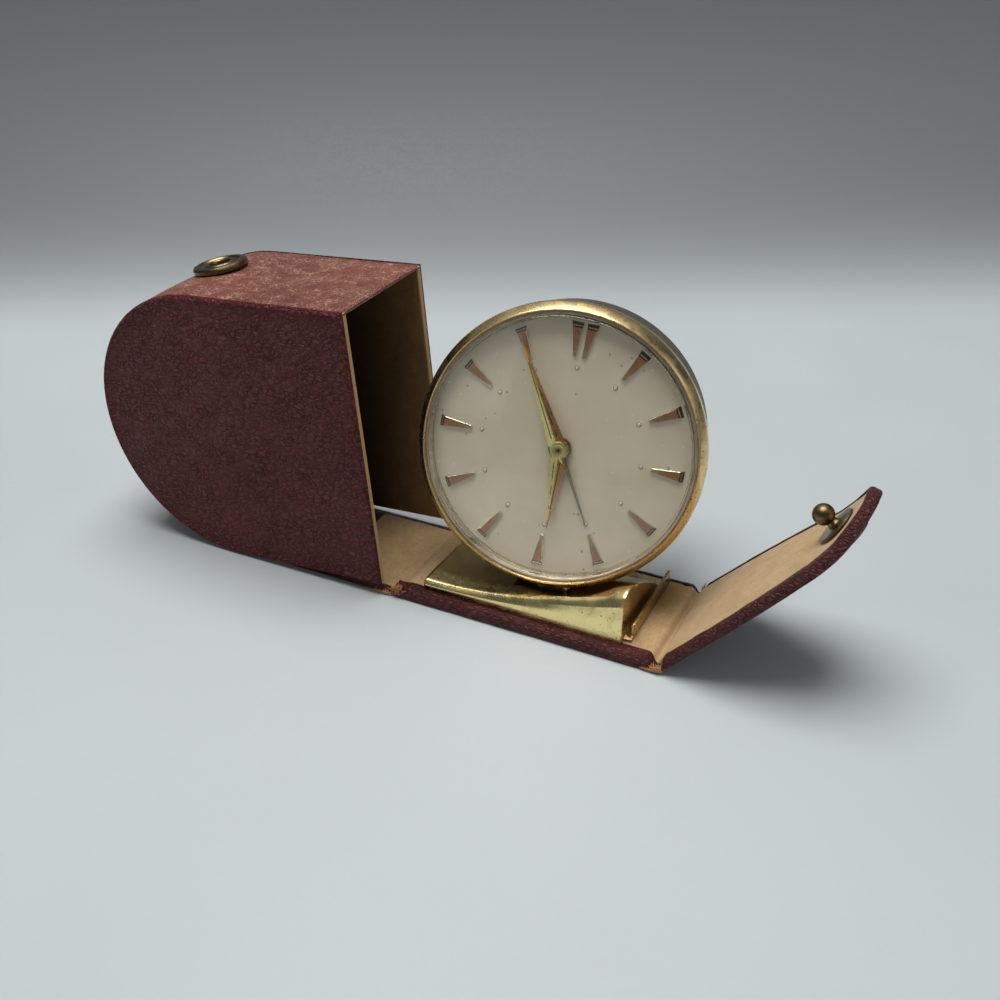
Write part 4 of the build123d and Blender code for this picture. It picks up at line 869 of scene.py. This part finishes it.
def wall_band():
    def place_of(s, t, k):
        run, depth = s * WALL_LENGTH, lerp(-WALL_HALF, WALL_HALF, t)
        from_rim, from_mouth = min(t, 1 - t) * 2 * WALL_HALF, WALL_LENGTH - run
        mouth_round = 1 - smooth(from_mouth / 0.7)
        sink = 0.26 * (1 - smooth(from_rim / 3.2)) - 0.16 * smooth(from_rim / 9)
        swell = 0.05 * bump(from_mouth, 1.0, 1.0) - 0.32 * mouth_round
        out = max(0.16 + sink - swell + ripple(run, depth, 12, 0.10, 9.0), 0.0)
        inner = (WALL_THICK if from_mouth < 1.7 else 0.8) - 0.35 * mouth_round
        return wall_point(run, depth, lerp(inner, out, k))

    rim = [0.004, 0.02, 0.045, 0.075]
    across = rim + even(0.075, 0.925, 0.045) + [1 - cut for cut in reversed(rim)]
    return shaped(place_of, skin_cuts(0, WALL_LENGTH, (WALL_LENGTH,), step=1.0), across, [0.5])


def wall_suede():
    low, high = 1.3, WALL_LENGTH - 1.5

    def place_of(s, t, k):
        across, inward = lerp(-PANEL_IN, PANEL_IN, t), lerp(WALL_THICK, 0.78, k)
        return wall_point(lerp(low, high, s), across, inward)

    return shaped(place_of, skin_cuts(low, high, step=1.2), 8)


# Loose fibres at the worn folds

# Without a seed the fibres' noise starts from the time of day and differs from run to run.
FIBRE_SEED = 18
noise.seed_set(FIBRE_SEED)


def frayed_ends(spots, seed):
    """Short bent fibres, each a tapered spike of a few faces."""
    whole = bmesh.new()
    for number, (x, y, z, spread, count, length) in enumerate(spots):
        for k in range(count):
            key = Vector((number * 3.1 + k * 1.7, seed, k * 0.37))
            shift = noise.noise_vector(key)
            lean = noise.noise_vector(key + Vector((9.1, 2.2, 4.4)))
            size = length * (0.35 + abs(shift.z) * 1.3)
            made = bmesh.ops.create_cone(
                whole, cap_ends=True, segments=5, radius1=0.10 + 0.13 * abs(lean.z), radius2=0.02,
                depth=size,
            )
            way = Vector((lean.x * 1.6, lean.y * 1.6, 0.25 + abs(lean.z) * 0.9)).normalized()
            turn = way.to_track_quat("Z", "Y").to_matrix().to_4x4()
            spot = (x + shift.x * spread[0], y + shift.y * spread[1], z + abs(shift.z) * spread[2])
            place = Matrix.Translation(spot) @ turn @ Matrix.Translation((0, 0, size * 0.42))
            bmesh.ops.transform(whole, matrix=place, verts=made["verts"])
    return whole


FRAY_AT_FLAP = [
    (30.4, -14.5, 0.6, (1.9, 0.5, 1.5), 150, 1.1), (30.9, 14.3, 1.2, (1.2, 0.6, 2.0), 80, 1.5),
    (29.0, -14.7, 0.4, (3.2, 0.25, 0.8), 60, 0.7),
]
FRAY_AT_STRAP = [
    (-29.4, -14.3, 0.8, (2.4, 0.7, 2.6), 190, 1.5), (-30.6, 14.1, 0.8, (1.2, 0.5, 0.9), 40, 1.0),
    (-32.6, -14.7, 0.35, (4.0, 0.3, 0.9), 90, 0.8),
]

# Brass foot
CRADLE_LEFT, CRADLE_RIGHT = -23.5, 21.9
CRADLE_BACK, CRADLE_DEEP, TRAY_TOP, SKIRT = 9.6, 22.0, 3.6, 0.62
# Each section: its place, its rise, and its front and top as shares forward and up.
SECTIONS = (
    (CRADLE_RIGHT, 10.6, [(1.006, 0), (1.008, 0.2), (1.006, 0.48), (0.988, 0.792)],
     [(0.988, 0.792), (0.927, 0.962), (0.809, 1), (0.618, 0.858), (0.345, 0.538), (0.118, 0.217),
      (0, 0)]),
    (0, 3.8, [(1.008, 0), (1.014, 0.263), (1.012, 0.553), (0.986, 0.842)],
     [(0.986, 0.842), (0.945, 1), (0.827, 1), (0.618, 0.868), (0.345, 0.632), (0.118, 0.342),
      (0, 0)]),
    (CRADLE_LEFT, 2.0, [(1.01, 0), (1.02, 0.2), (1.022, 0.45), (1.005, 0.7)],
     [(1.005, 0.7), (0.964, 0.95), (0.827, 1), (0.618, 0.9), (0.345, 0.7), (0.118, 0.4), (0, 0)]),
)
FRONT_SHARE = 0.3
POCKET_LEFT, POCKET_RIGHT, POCKET_FRONT = -4.4, 7.8, -7.6
PIN_DROP, PIN_BEHIND, ROOM = 30.8, 3.2, 0.35
ARM_X, ARM_Y, PIN_Y, PIN_Z = 1.0, 5.5, -3.8, 6.0


def through(points, share):
    """A smooth curve through points, read at a share of its length."""
    place = share * (len(points) - 1)
    k = min(int(place), len(points) - 2)
    t = place - k
    a, b = points[max(k - 1, 0)], points[k]
    c, d = points[k + 1], points[min(k + 2, len(points) - 1)]
    return tuple(
        0.5 * (2 * b[n] + (c[n] - a[n]) * t + (2 * a[n] - 5 * b[n] + 4 * c[n] - d[n]) * t * t
               + (3 * b[n] - a[n] - 3 * c[n] + d[n]) * t ** 3)
        for n in (0, 1)
    )


def clock_pose(angle, lean):
    """Origin and front of the clock with the foot swung and the clock leaned."""
    c, s = directions(angle)
    lc, ls = directions(lean)
    side, up = Vector((c, s, 0)), Vector((-s * ls, c * ls, lc))
    front = side.cross(up)
    reach = PIN_Y - ARM_Y
    pin = Vector((ARM_X - s * reach, ARM_Y + c * reach, PIN_Z))
    return pin + up * PIN_DROP + front * PIN_BEHIND, front


# The room that the bezel and the drum sweep: origin, front, radius and both ends.
ROOMS = [
    (*clock_pose(angle, lean), radius + ROOM, low - ROOM, high + ROOM)
    for angle in (0, 13.5, 16.5) for lean in (0.01, 16)
    for radius, low, high in ((29.5, -1.5, 3.1), (28.5, -17.0, -1.5))
]


def room_floor(x, y):
    """The lowest height at which the swinging clock comes over a place."""
    lowest = 99.0
    for origin, front, radius, low, high in ROOMS:
        flat = Vector((x, y, 0)) - origin
        level, rise = flat.dot(front), front.z
        a = 1 - rise * rise
        b = flat.z - level * rise
        under = b * b - a * (flat.dot(flat) - level * level - radius * radius)
        if under <= 0:
            continue
        first, last = (-b - math.sqrt(under)) / a, (-b + math.sqrt(under)) / a
        near, far = sorted(((low - level) / rise, (high - level) / rise))
        start = max(first, near)
        if start < min(last, far):
            lowest = min(lowest, start)
    return lowest


def cradle_point(x, share):
    """A point of the cradle's skin, from the foot of its front over the top to the back."""
    spots = []
    for place, rise, front, top in SECTIONS:
        if share < FRONT_SHARE:
            y, z = through(front, share / FRONT_SHARE)
        else:
            y, z = through(top, (share - FRONT_SHARE) / (1 - FRONT_SHARE))
        spots.append((place, CRADLE_BACK - y * CRADLE_DEEP, TRAY_TOP + z * rise))
    (a, ay, az), (b, by, bz), (c, cy, cz) = spots
    first = (x - b) * (x - c) / ((a - b) * (a - c))
    second = (x - a) * (x - c) / ((b - a) * (b - c))
    third = (x - a) * (x - b) / ((c - a) * (c - b))
    return ay * first + by * second + cy * third, az * first + bz * second + cz * third


def cradle():
    def place_of(s, t, k):
        x = lerp(CRADLE_LEFT, CRADLE_RIGHT, s)
        y, z = cradle_point(x, t)
        z = max(min(z, room_floor(x, y)), TRAY_TOP + 0.02)
        if POCKET_LEFT < x < POCKET_RIGHT and y > POCKET_FRONT:
            z = TRAY_TOP + 0.02
        if k < 0.5:
            y, z = min(y, CRADLE_BACK), TRAY_TOP - 0.1
        elif t < 0.05:
            z = lerp(TRAY_TOP - SKIRT, z, smooth(t / 0.05))
        ease = 0.25 * (1 - smooth(min(x - CRADLE_LEFT, CRADLE_RIGHT - x) / 0.3))
        return Vector((x, y + (ease if t < 0.4 else 0), max(z - ease, TRAY_TOP - SKIRT)))

    return shaped(place_of, even(0, 1, 0.0085), even(0, 1, 0.0125))


# Pieces shaped from the solids, with their edges eased


def solid_of(node_name):
    held = frame["nodes"][node_name]
    return bpy.data.objects[held if isinstance(held, str) else held.name]


def eased(node_name, width):
    """A merged copy of a solid's mesh with soft edges, in millimetres."""
    bm = bmesh.new()
    bm.from_mesh(solid_of(node_name).data)
    moved(bm, Matrix.Scale(1 / MM, 4))
    bmesh.ops.remove_doubles(bm, verts=bm.verts, dist=2e-4)
    bmesh.ops.dissolve_limit(
        bm, angle_limit=math.radians(0.8), verts=bm.verts, edges=bm.edges,
        use_dissolve_boundaries=False,
    )
    soften(bm, width, 2, 28)
    bmesh.ops.triangulate(bm, faces=[f for f in bm.faces if len(f.verts) > 4])
    return bm


def keep_eased(node_name, width, name, slot, body, finish="", sharp=40):
    keep(eased(node_name, width), name, ROW, slot, body, node_name, finish, sharp)


# Clock case, as profiles of radius and height over the dial
BEZEL = [
    (28.5, -1.5), (29.3, -1.5), (29.5, -1.3), (29.5, 1.05), (29.42, 1.3), (28.16, 3.0), (28.0, 3.1),
    (27.86, 3.02), (27.72, 2.5), (27.66, 2.3), (27.6, 1.9), (27.7, 1.2), (28.5, 1.2),
]
BEZEL_LIP = [(27.0, 1.9), (27.62, 1.9), (27.7, 2.3), (27.62, 2.46), (27.3, 2.52), (27.06, 2.36)]
INNER_RING = [(26.4, 0.0), (27.6, 0.0), (27.6, 0.88), (26.95, 0.9), (26.78, 0.82), (26.62, 0.55)]
DRUM_RIM = [
    (27.7 + 0.8 * math.cos(math.radians(a)), -16.2 - 0.8 * math.sin(math.radians(a)))
    for a in range(0, 91, 15)
]
DRUM = [(27.7, 1.2), (28.5, 1.2), (28.5, -15.4)] + DRUM_RIM + [
    (27.65, -16.2), (26.2, -16.2), (26.2, -15.4), (27.7, -15.4), (27.7, -5.4), (26.2, -5.4),
    (26.2, -4.6), (27.7, -4.6),
]
GLASS_RIM = [(26.9, 3.1), (26.95, 2.9), (26.95, 1.86), (27.6, 1.86), (27.6, 0.92), (26.3, 0.92)]


def dome(radius, low, apex, count=22):
    rise = apex - low
    ball = (radius * radius + rise * rise) / (2 * rise)
    return [
        (radius * k / count, apex - ball + math.sqrt(ball * ball - (radius * k / count) ** 2))
        for k in range(count + 1)
    ]


def glass_cap():
    profile = dome(26.75, 3.25, 5.0) + GLASS_RIM + dome(26.3, 2.3, 4.2)[::-1]
    bm = lathe(profile, 192, closed=False)
    bmesh.ops.remove_doubles(bm, verts=bm.verts, dist=1e-3)
    return bm


# Dial furniture
MARKER_IN, MARKER_OUT, MARKER_TALL, MARKER_SLOPE = 18.6, 25.4, 0.62, 0.95
MARKER_PLACES = [(90 - 30 * k, 0, 0) for k in range(1, 12)] + [(90, 0.9, 1.55), (90, -0.9, -1.55)]
DOT_RING = 16.6


def turned_by(angle):
    return Matrix.Rotation(math.radians(angle), 4, "Z")


def one_marker(bearing, near, far):
    """A cut wedge: a long top facet, bright flanks and a steep outer end darkened with painted
    shade.
    """
    def place_of(s, t, k):
        x = lerp(MARKER_IN + 0.2 * k, MARKER_OUT - MARKER_SLOPE * k, s)
        reach = (x - MARKER_IN) / (MARKER_OUT - MARKER_IN)
        half = max(lerp(0.45, 1.2, reach) - 0.14 * k, 0.14)
        y = lerp(near, far, reach) + (2 * t - 1) * half
        return Vector((x, y, MARKER_TALL * k * lerp(0.8, 1, s)))

    bm = shaped(place_of)
    soften(bm, 0.035, 1, 20)
    for face in bm.faces:
        way, spot = face.normal, face.calc_center_median()
        # Painted shade: the steep outer end takes the dark finish.
        if way.x > 0.2 and way.z < 0.9 and spot.x > MARKER_OUT - 1.1:
            face.material_index = 2
        elif way.z < 0.93:
            face.material_index = 1
    return moved(bm, turned_by(bearing))


def end_stripe(bearing, far):
    """A thin bright line across a marker's dark outer end."""
    x = MARKER_OUT - 0.5
    height = MARKER_TALL * (MARKER_OUT - x) / MARKER_SLOPE

    def place_of(s, t, k):
        lift = height + (0.03 if k > 0.5 else -0.06) - (s - 0.5) * 0.14
        return Vector((x + (s - 0.5) * 0.22, far + (2 * t - 1) * 0.92, lift))

    return moved(shaped(place_of), turned_by(bearing))


def dots():
    """The lume beads inside the markers, and the thin rim round each."""
    beads, wells = [], []
    for k in range(12):
        x, y = (DOT_RING * c for c in directions(30 * k))
        bead = bmesh.new()
        bmesh.ops.create_uvsphere(bead, u_segments=16, v_segments=8, radius=0.40)
        flatter = Matrix.Diagonal((1, 1, 0.6, 1))
        beads.append(moved(bead, Matrix.Translation((x, y, 0.02)) @ flatter))
        well = lathe([(0.36, 0.0), (0.47, 0.0), (0.47, 0.03), (0.36, 0.05)], 20)
        wells.append(moved(well, Matrix.Translation((x, y, 0))))
    return joined(*beads), joined(*wells)


# Length, place and half-width of the shoulder, and height of the rim and of the ridge.
MINUTE_HAND, MINUTE_BEARING = (24.1, 1.4, 1.7, 2.34, 2.62), 330
HOUR_HAND, HOUR_BEARING = (17.1, 3.2, 1.7, 1.55, 1.76), 177.5
TIP_HALF, RIM_DROP = 0.02, 0.16


def hand_turn(bearing):
    return FACE @ turned_by(90 - bearing)


def dauphine(hand, tail, under, hub, hole, pale=1):
    """A pointed hand with a short tail, a raised ridge along its middle and a round hub."""
    length, shoulder, half, top, ridge = hand
    rim = [(-tail, TIP_HALF), (shoulder, half), (length, TIP_HALF)]

    def place_of(s, t, k):
        x = lerp(-tail, length, s)
        lift = lerp(ridge, top - RIM_DROP, abs(2 * t - 1))
        return Vector((x, (2 * t - 1) * along_table(rim, x), lerp(under, lift, k)))

    bm = shaped(place_of, [(shoulder + tail) / (length + tail), 0.35, 0.55, 0.75, 0.9], [0.5])
    # The side attribute picks the facet that takes the painted copper reflection; pale flips which
    # one.
    side = bm.verts.layers.float.new("side")
    for vert in bm.verts:
        vert[side] = 0.5 - 0.5 * pale * max(-1.0, min(1.0, vert.co.y / 0.02))
    ring = [(hole, under), (hub, under), (hub, top - 0.04), (hub - 0.1, top), (hole, top)]
    return joined(bm, lathe(ring, 64))


def hand_lines(hand, start, stop, wide_start, wide_stop):
    """The dark outline of the slot sunk along a hand."""
    length, shoulder, half, top, ridge = hand
    rim = [(0, half), (shoulder, half), (length, TIP_HALF)]
    parts = []
    for side in (-1, 1):
        def place_of(s, t, k):
            x = lerp(start, stop, s)
            y = lerp(wide_start, wide_stop, s) + (t - 0.5) * 0.17
            lift = lerp(ridge, top - RIM_DROP, min(y / along_table(rim, x), 1))
            return Vector((x, side * y, lift + (0.018 if k > 0.5 else -0.08)))

        parts.append(shaped(place_of, 6))
    return joined(*parts)


HAND_RING = [
    (0.86, 2.3), (1.5, 2.3), (1.72, 2.45), (1.74, 2.8), (1.58, 3.0), (1.25, 3.06), (0.98, 3.0),
    (0.86, 2.75),
]
HAND_PIPE = [
    (0, 2.3), (0.87, 2.3), (0.87, 2.78), (0.62, 2.84), (0.5, 2.72), (0.38, 2.72), (0.34, 2.9),
    (0, 2.95),
]

# Snap fastener
STUD_ALONG, SOCKET_ALONG, LINING_TOP = 43.5, 42.5, 2.05
BALL, BALL_RISE = 2.1, 3.6
STUD = [
    (0, -3.0), (1.0, -3.0), (1.0, 0.28), (3.9, 0.28), (4.2, 0.42), (4.2, 0.6), (4.0, 0.78),
    (1.7, 0.84), (1.35, 1.0), (1.1, 1.4),
] + [
    (BALL * math.sin(math.radians(a)), BALL_RISE - BALL * math.cos(math.radians(a)))
    for a in range(30, 180, 10)
] + [(0, BALL_RISE + BALL)]
STUD_CAP = [(1.0, -3.12), (4.3, -3.12), (4.6, -2.9), (4.6, -2.52), (1.0, -2.52)]
SOCKET = [
    (2.25, -2.1), (3.0, -2.1), (3.0, 0.0), (5.7, 0.0), (6.0, 0.35), (6.0, 0.95), (5.75, 1.4),
    (5.2, 1.6), (4.6, 1.58), (4.3, 1.2), (4.05, 1.12), (3.5, 1.12), (3.3, 1.3), (3.1, 1.5),
    (2.6, 1.52), (2.35, 1.35), (2.25, 1.0),
]
SOCKET_FLOOR = [(0, -1.4), (2.3, -1.4), (2.3, -1.1), (0, -1.1)]


def stud_frame():
    bend = (STUD_ALONG - FLAP_STRAIGHT) / FLAP_BEND
    along, out = Vector((flap_cos, 0, flap_sin)), Vector((-flap_sin, 0, flap_cos))
    c, s = math.cos(bend), math.sin(bend)
    spot = flap_point(STUD_ALONG, 0, LINING_TOP)
    return frame_at(spot * MM, along * c + out * s, out * c - along * s)


def socket_frame():
    bend = (SOCKET_ALONG - COVER_RUN) / ARCH
    c, s = math.cos(bend), math.sin(bend)
    spot = COVER @ Vector((COVER_RUN + ARCH * s, ARCH + ARCH * c, 1.5))
    turn = COVER.to_3x3()
    return frame_at(spot, turn @ Vector((c, -s, 0)), turn @ Vector((s, c, 0)))


# Camera, floor and light
CAMERA_RIGHT, CAMERA_DOWN = (0.89354, 0.44875, -0.0144), (0.22049, -0.46652, -0.85659)
CAMERA_AHEAD = (-0.39111, 0.76222, -0.5158)
CAMERA_PLACE = (84.638, -186.801, 148.06)
SWEEP_START, SWEEP_ROUND, SWEEP_TURN = 0.15, 0.11, 26.7


def set_camera():
    right, down, ahead = (Vector(way) for way in (CAMERA_RIGHT, CAMERA_DOWN, CAMERA_AHEAD))
    turn = Matrix((right, -down, -ahead)).transposed().to_4x4()
    lens = bpy.data.cameras.new("camera")
    lens.lens, lens.sensor_width, lens.clip_start = 41.56, 36.0, 0.01
    camera = bpy.data.objects.new("camera", lens)
    camera.matrix_world = Matrix.Translation(Vector(CAMERA_PLACE) * MM) @ turn
    scene.collection.objects.link(camera)
    bpy.context.scene.camera = camera


def area_light(name, place, target, size, power, colour):
    light = bpy.data.lights.new(name, "AREA")
    light.shape, light.size, light.size_y = "RECTANGLE", size[0], size[1]
    light.energy, light.color = power, colour
    held = bpy.data.objects.new(name, light)
    way = Vector(target) - Vector(place)
    turn = way.to_track_quat("-Z", "Y").to_matrix().to_4x4()
    held.matrix_world = Matrix.Translation(place) @ turn
    scene.collection.objects.link(held)
    return held


def sweep_floor(finish):
    """A floor that curves up softly into a backdrop."""
    bm = bmesh.new()
    line = [(-1.2, 0), (-0.4, 0), (0.0, 0)]
    for angle in range(0, 91, 6):
        c, s = directions(angle)
        line.append((SWEEP_START + SWEEP_ROUND * s, SWEEP_ROUND - SWEEP_ROUND * c))
    line.append((SWEEP_START + SWEEP_ROUND, 1.2))
    verts = [bm.verts.new((-1.6, y, z)) for y, z in line]
    edges = [bm.edges.new(pair) for pair in zip(verts, verts[1:])]
    made = bmesh.ops.extrude_edge_only(bm, edges=edges)
    ends = [g for g in made["geom"] if isinstance(g, bmesh.types.BMVert)]
    bmesh.ops.translate(bm, verts=ends, vec=(3.2, 0, 0))
    turn = Matrix.Rotation(math.radians(SWEEP_TURN), 3, "Z")
    bmesh.ops.rotate(bm, verts=bm.verts, cent=(0, 0, 0), matrix=turn)
    bmesh.ops.recalc_face_normals(bm, faces=bm.faces)
    bm.faces.ensure_lookup_table()
    if bm.faces[0].normal.z < 0:
        bmesh.ops.reverse_faces(bm, faces=bm.faces)
    placed(bm, "floor", finish)


# Putting the case together


def blend_fold(piece):
    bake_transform(piece)


skin = keep(
    case_skin(), "case_leather", ROW, "leather", None, "base_leather flap_leather", sharp=60)
blend_fold(skin)
lining = keep(
    lining_sheet(), "case_lining", ROW, "lining", None, "base_lining flap_lining", sharp=60)
blend_fold(lining)
strap = keep(
    strap_skin(), "strap_leather_band", ROW, "leather", None, "strap_leather", "strap_leather", 60)
blend_fold(strap)
strap_top = keep(strap_suede(), "strap_suede", ROW, "lining", None, "strap_lining", sharp=60)
blend_fold(strap_top)

for end, side in (("front", -1), ("back", 1)):
    solids = f"cover_{end}_leather cover_{end}_board"
    keep(cover_panel(side), "cover_" + end, COVER, "leather", "cover", solids, "cover_leather", 60)
for end, side in (("front", -1), ("back", 1)):
    name, solids = f"cover_{end}_suede", f"cover_{end}_lining"
    keep(suede_panel(side), name, COVER, "lining", "cover", solids, "cover_suede")
keep(wall_band(), "cover_wall", COVER, "leather", "cover", "cover_wall_leather", "top_leather", 60)
keep(wall_suede(), "cover_wall_suede", COVER, "lining", "cover", "cover_wall_lining", "cover_suede")

for end, spots, seed in (("flap", FRAY_AT_FLAP, 2.0), ("strap", FRAY_AT_STRAP, 5.0)):
    keep(frayed_ends(spots, seed), "fray_at_" + end, ROW, "leather", "case_base", finish="fibre",
         marked=False)

# Foot and clock case
keep(cradle(), "brass_cradle", ROW, "foot_brass", "case_base", "foot_cradle", sharp=38)
keep_eased("foot_tray", 0.16, "brass_tray", "foot_brass", "case_base", "tray_brass", 38)
keep_eased("swing_arm", 0.12, "clamp_arm", "steel", "swing_arm")
keep_eased("swing_rivet", 0.08, "clamp_rivet", "steel", "case_base")
keep_eased("tilt_pin", 0.1, "clamp_pin", "steel", "swing_arm")

bezel, lip, ring = (lathe(BEZEL, soft=(0.05, 2, 20)), lathe(BEZEL_LIP, soft=(0.03, 2, 20)),
                    lathe(INNER_RING, soft=(0.04, 2, 20)))
keep(bezel, "bezel_ring", FACE, "bezel_brass", "clock", "bezel", sharp=30)
keep(lip, "bezel_lip", FACE, "bezel_brass", "clock", finish="bezel_lip", sharp=30)
keep(lathe(DRUM), "drum_shell", FACE, "drum_metal", "clock", "drum_case", sharp=35)
keep_eased("drum_lug", 0.15, "drum_foot", "drum_metal", "clock")
keep(glass_cap(), "glass_cap", FACE, "crystal", "clock", "crystal", sharp=50, marked=False)
keep(ring, "silver_ring", FACE, "inner_ring", "clock", "inner_ring", sharp=30)
keep_eased("back_cover", 0.12, "back_plate_cover", "back_metal", "clock")

# Dial and hands
wedges = joined(*[one_marker(*spot) for spot in MARKER_PLACES])
markers = keep(wedges, "wedge_markers", FACE, "markers", "clock", "hour_markers", sharp=12)
for name in ("marker_silver", "marker_end"):
    markers.data.materials.append(FINISHES[name])
stripes = joined(*[end_stripe(bearing, far) for bearing, _, far in MARKER_PLACES])
keep(stripes, "marker_stripes", FACE, "markers", "clock", finish="marker_silver", marked=False)
beads, wells = dots()
keep(beads, "dial_beads", FACE, "lume", "clock", "lume_dots", marked=False)
keep(wells, "bead_wells", FACE, "dark_steel", "clock", marked=False)

place = hand_turn(MINUTE_BEARING)
keep(dauphine(MINUTE_HAND, 3.1, 2.0, 1.6, 1.02), "minute_pointer", place, "hands", "minutes",
     "minute_hand", sharp=8)
keep(hand_lines(MINUTE_HAND, 2.6, 18.6, 0.62, 0.14), "minute_slot", place, "dark_steel", "minutes",
     marked=False)
place = hand_turn(HOUR_BEARING)
keep(dauphine(HOUR_HAND, 2.4, 1.25, 1.95, 1.37, -1), "hour_pointer", place, "hands", "hours",
     "hour_hand", sharp=8)
keep(hand_lines(HOUR_HAND, 2.8, 12.6, 0.6, 0.16), "hour_slot", place, "dark_steel", "hours",
     marked=False)
keep_eased("alarm_hand", 0.05, "alarm_pointer_hand", "dark_steel", "alarm_pointer", "alarm_hand")
keep(lathe(HAND_RING, 64), "hand_ring", FACE, "hands", "minutes", marked=False)
keep(lathe(HAND_PIPE, 48, closed=False), "hand_pipe", FACE, "dark_steel", "minutes", marked=False)

# Snap, knobs and keys
stud, cap = lathe(STUD, 64, closed=False), lathe(STUD_CAP, 72, (0.12, 3, 30))
socket = joined(lathe(SOCKET, 96, (0.07, 2, 25)), lathe(SOCKET_FLOOR, 48, closed=False))
keep(stud, "ball_stud", stud_frame(), "aged_brass", "flap", "snap_stud", marked=False)
keep(cap, "stud_back_cap", stud_frame(), "aged_brass", "flap", "snap_stud_cap", marked=False)
keep(socket, "socket_cap", socket_frame(), "aged_brass", "cover", "snap_socket", marked=False)
for name, width, slot in (
    ("set_knob", 0.08, "key_brass"), ("alarm_knob", 0.08, "key_brass"),
    ("time_key", 0.14, "key_brass"), ("alarm_key", 0.14, "key_brass"),
    ("stop_button", 0.1, "steel"), ("regulator_lever", 0.1, "steel"),
):
    keep_eased(name, width, "turned_" + name, slot, name)

for part in frame["record"]["subparts"]:
    worn = solid_of(part["node"]).data.materials
    worn.clear()
    worn.append(FINISHES[part["material_slot"]])

sweep_floor(table_paint())
set_camera()
area_light("key", (-0.08, 0.0, 0.70), (0, 0, 0.02), (0.46, 0.46), 5.5, (1.0, 0.985, 0.96))
front = area_light(
    "front", (-0.45, -0.90, 0.45), (0, 0, 0.03), (0.8, 0.6), 0.95, (0.97, 0.985, 1.0))
front.visible_glossy = False
area_light("side", (0.62, 0.06, 0.40), (0, 0, 0.04), (0.5, 0.4), 0.5, (1.0, 0.98, 0.95))
world = bpy.data.worlds.new("studio")
world.use_nodes = True
background = world.node_tree.nodes["Background"]
background.inputs["Color"].default_value = (0.80, 0.87, 0.92, 1)
background.inputs["Strength"].default_value = 0.10
scene.world = world
scene.view_settings.view_transform = "Standard"
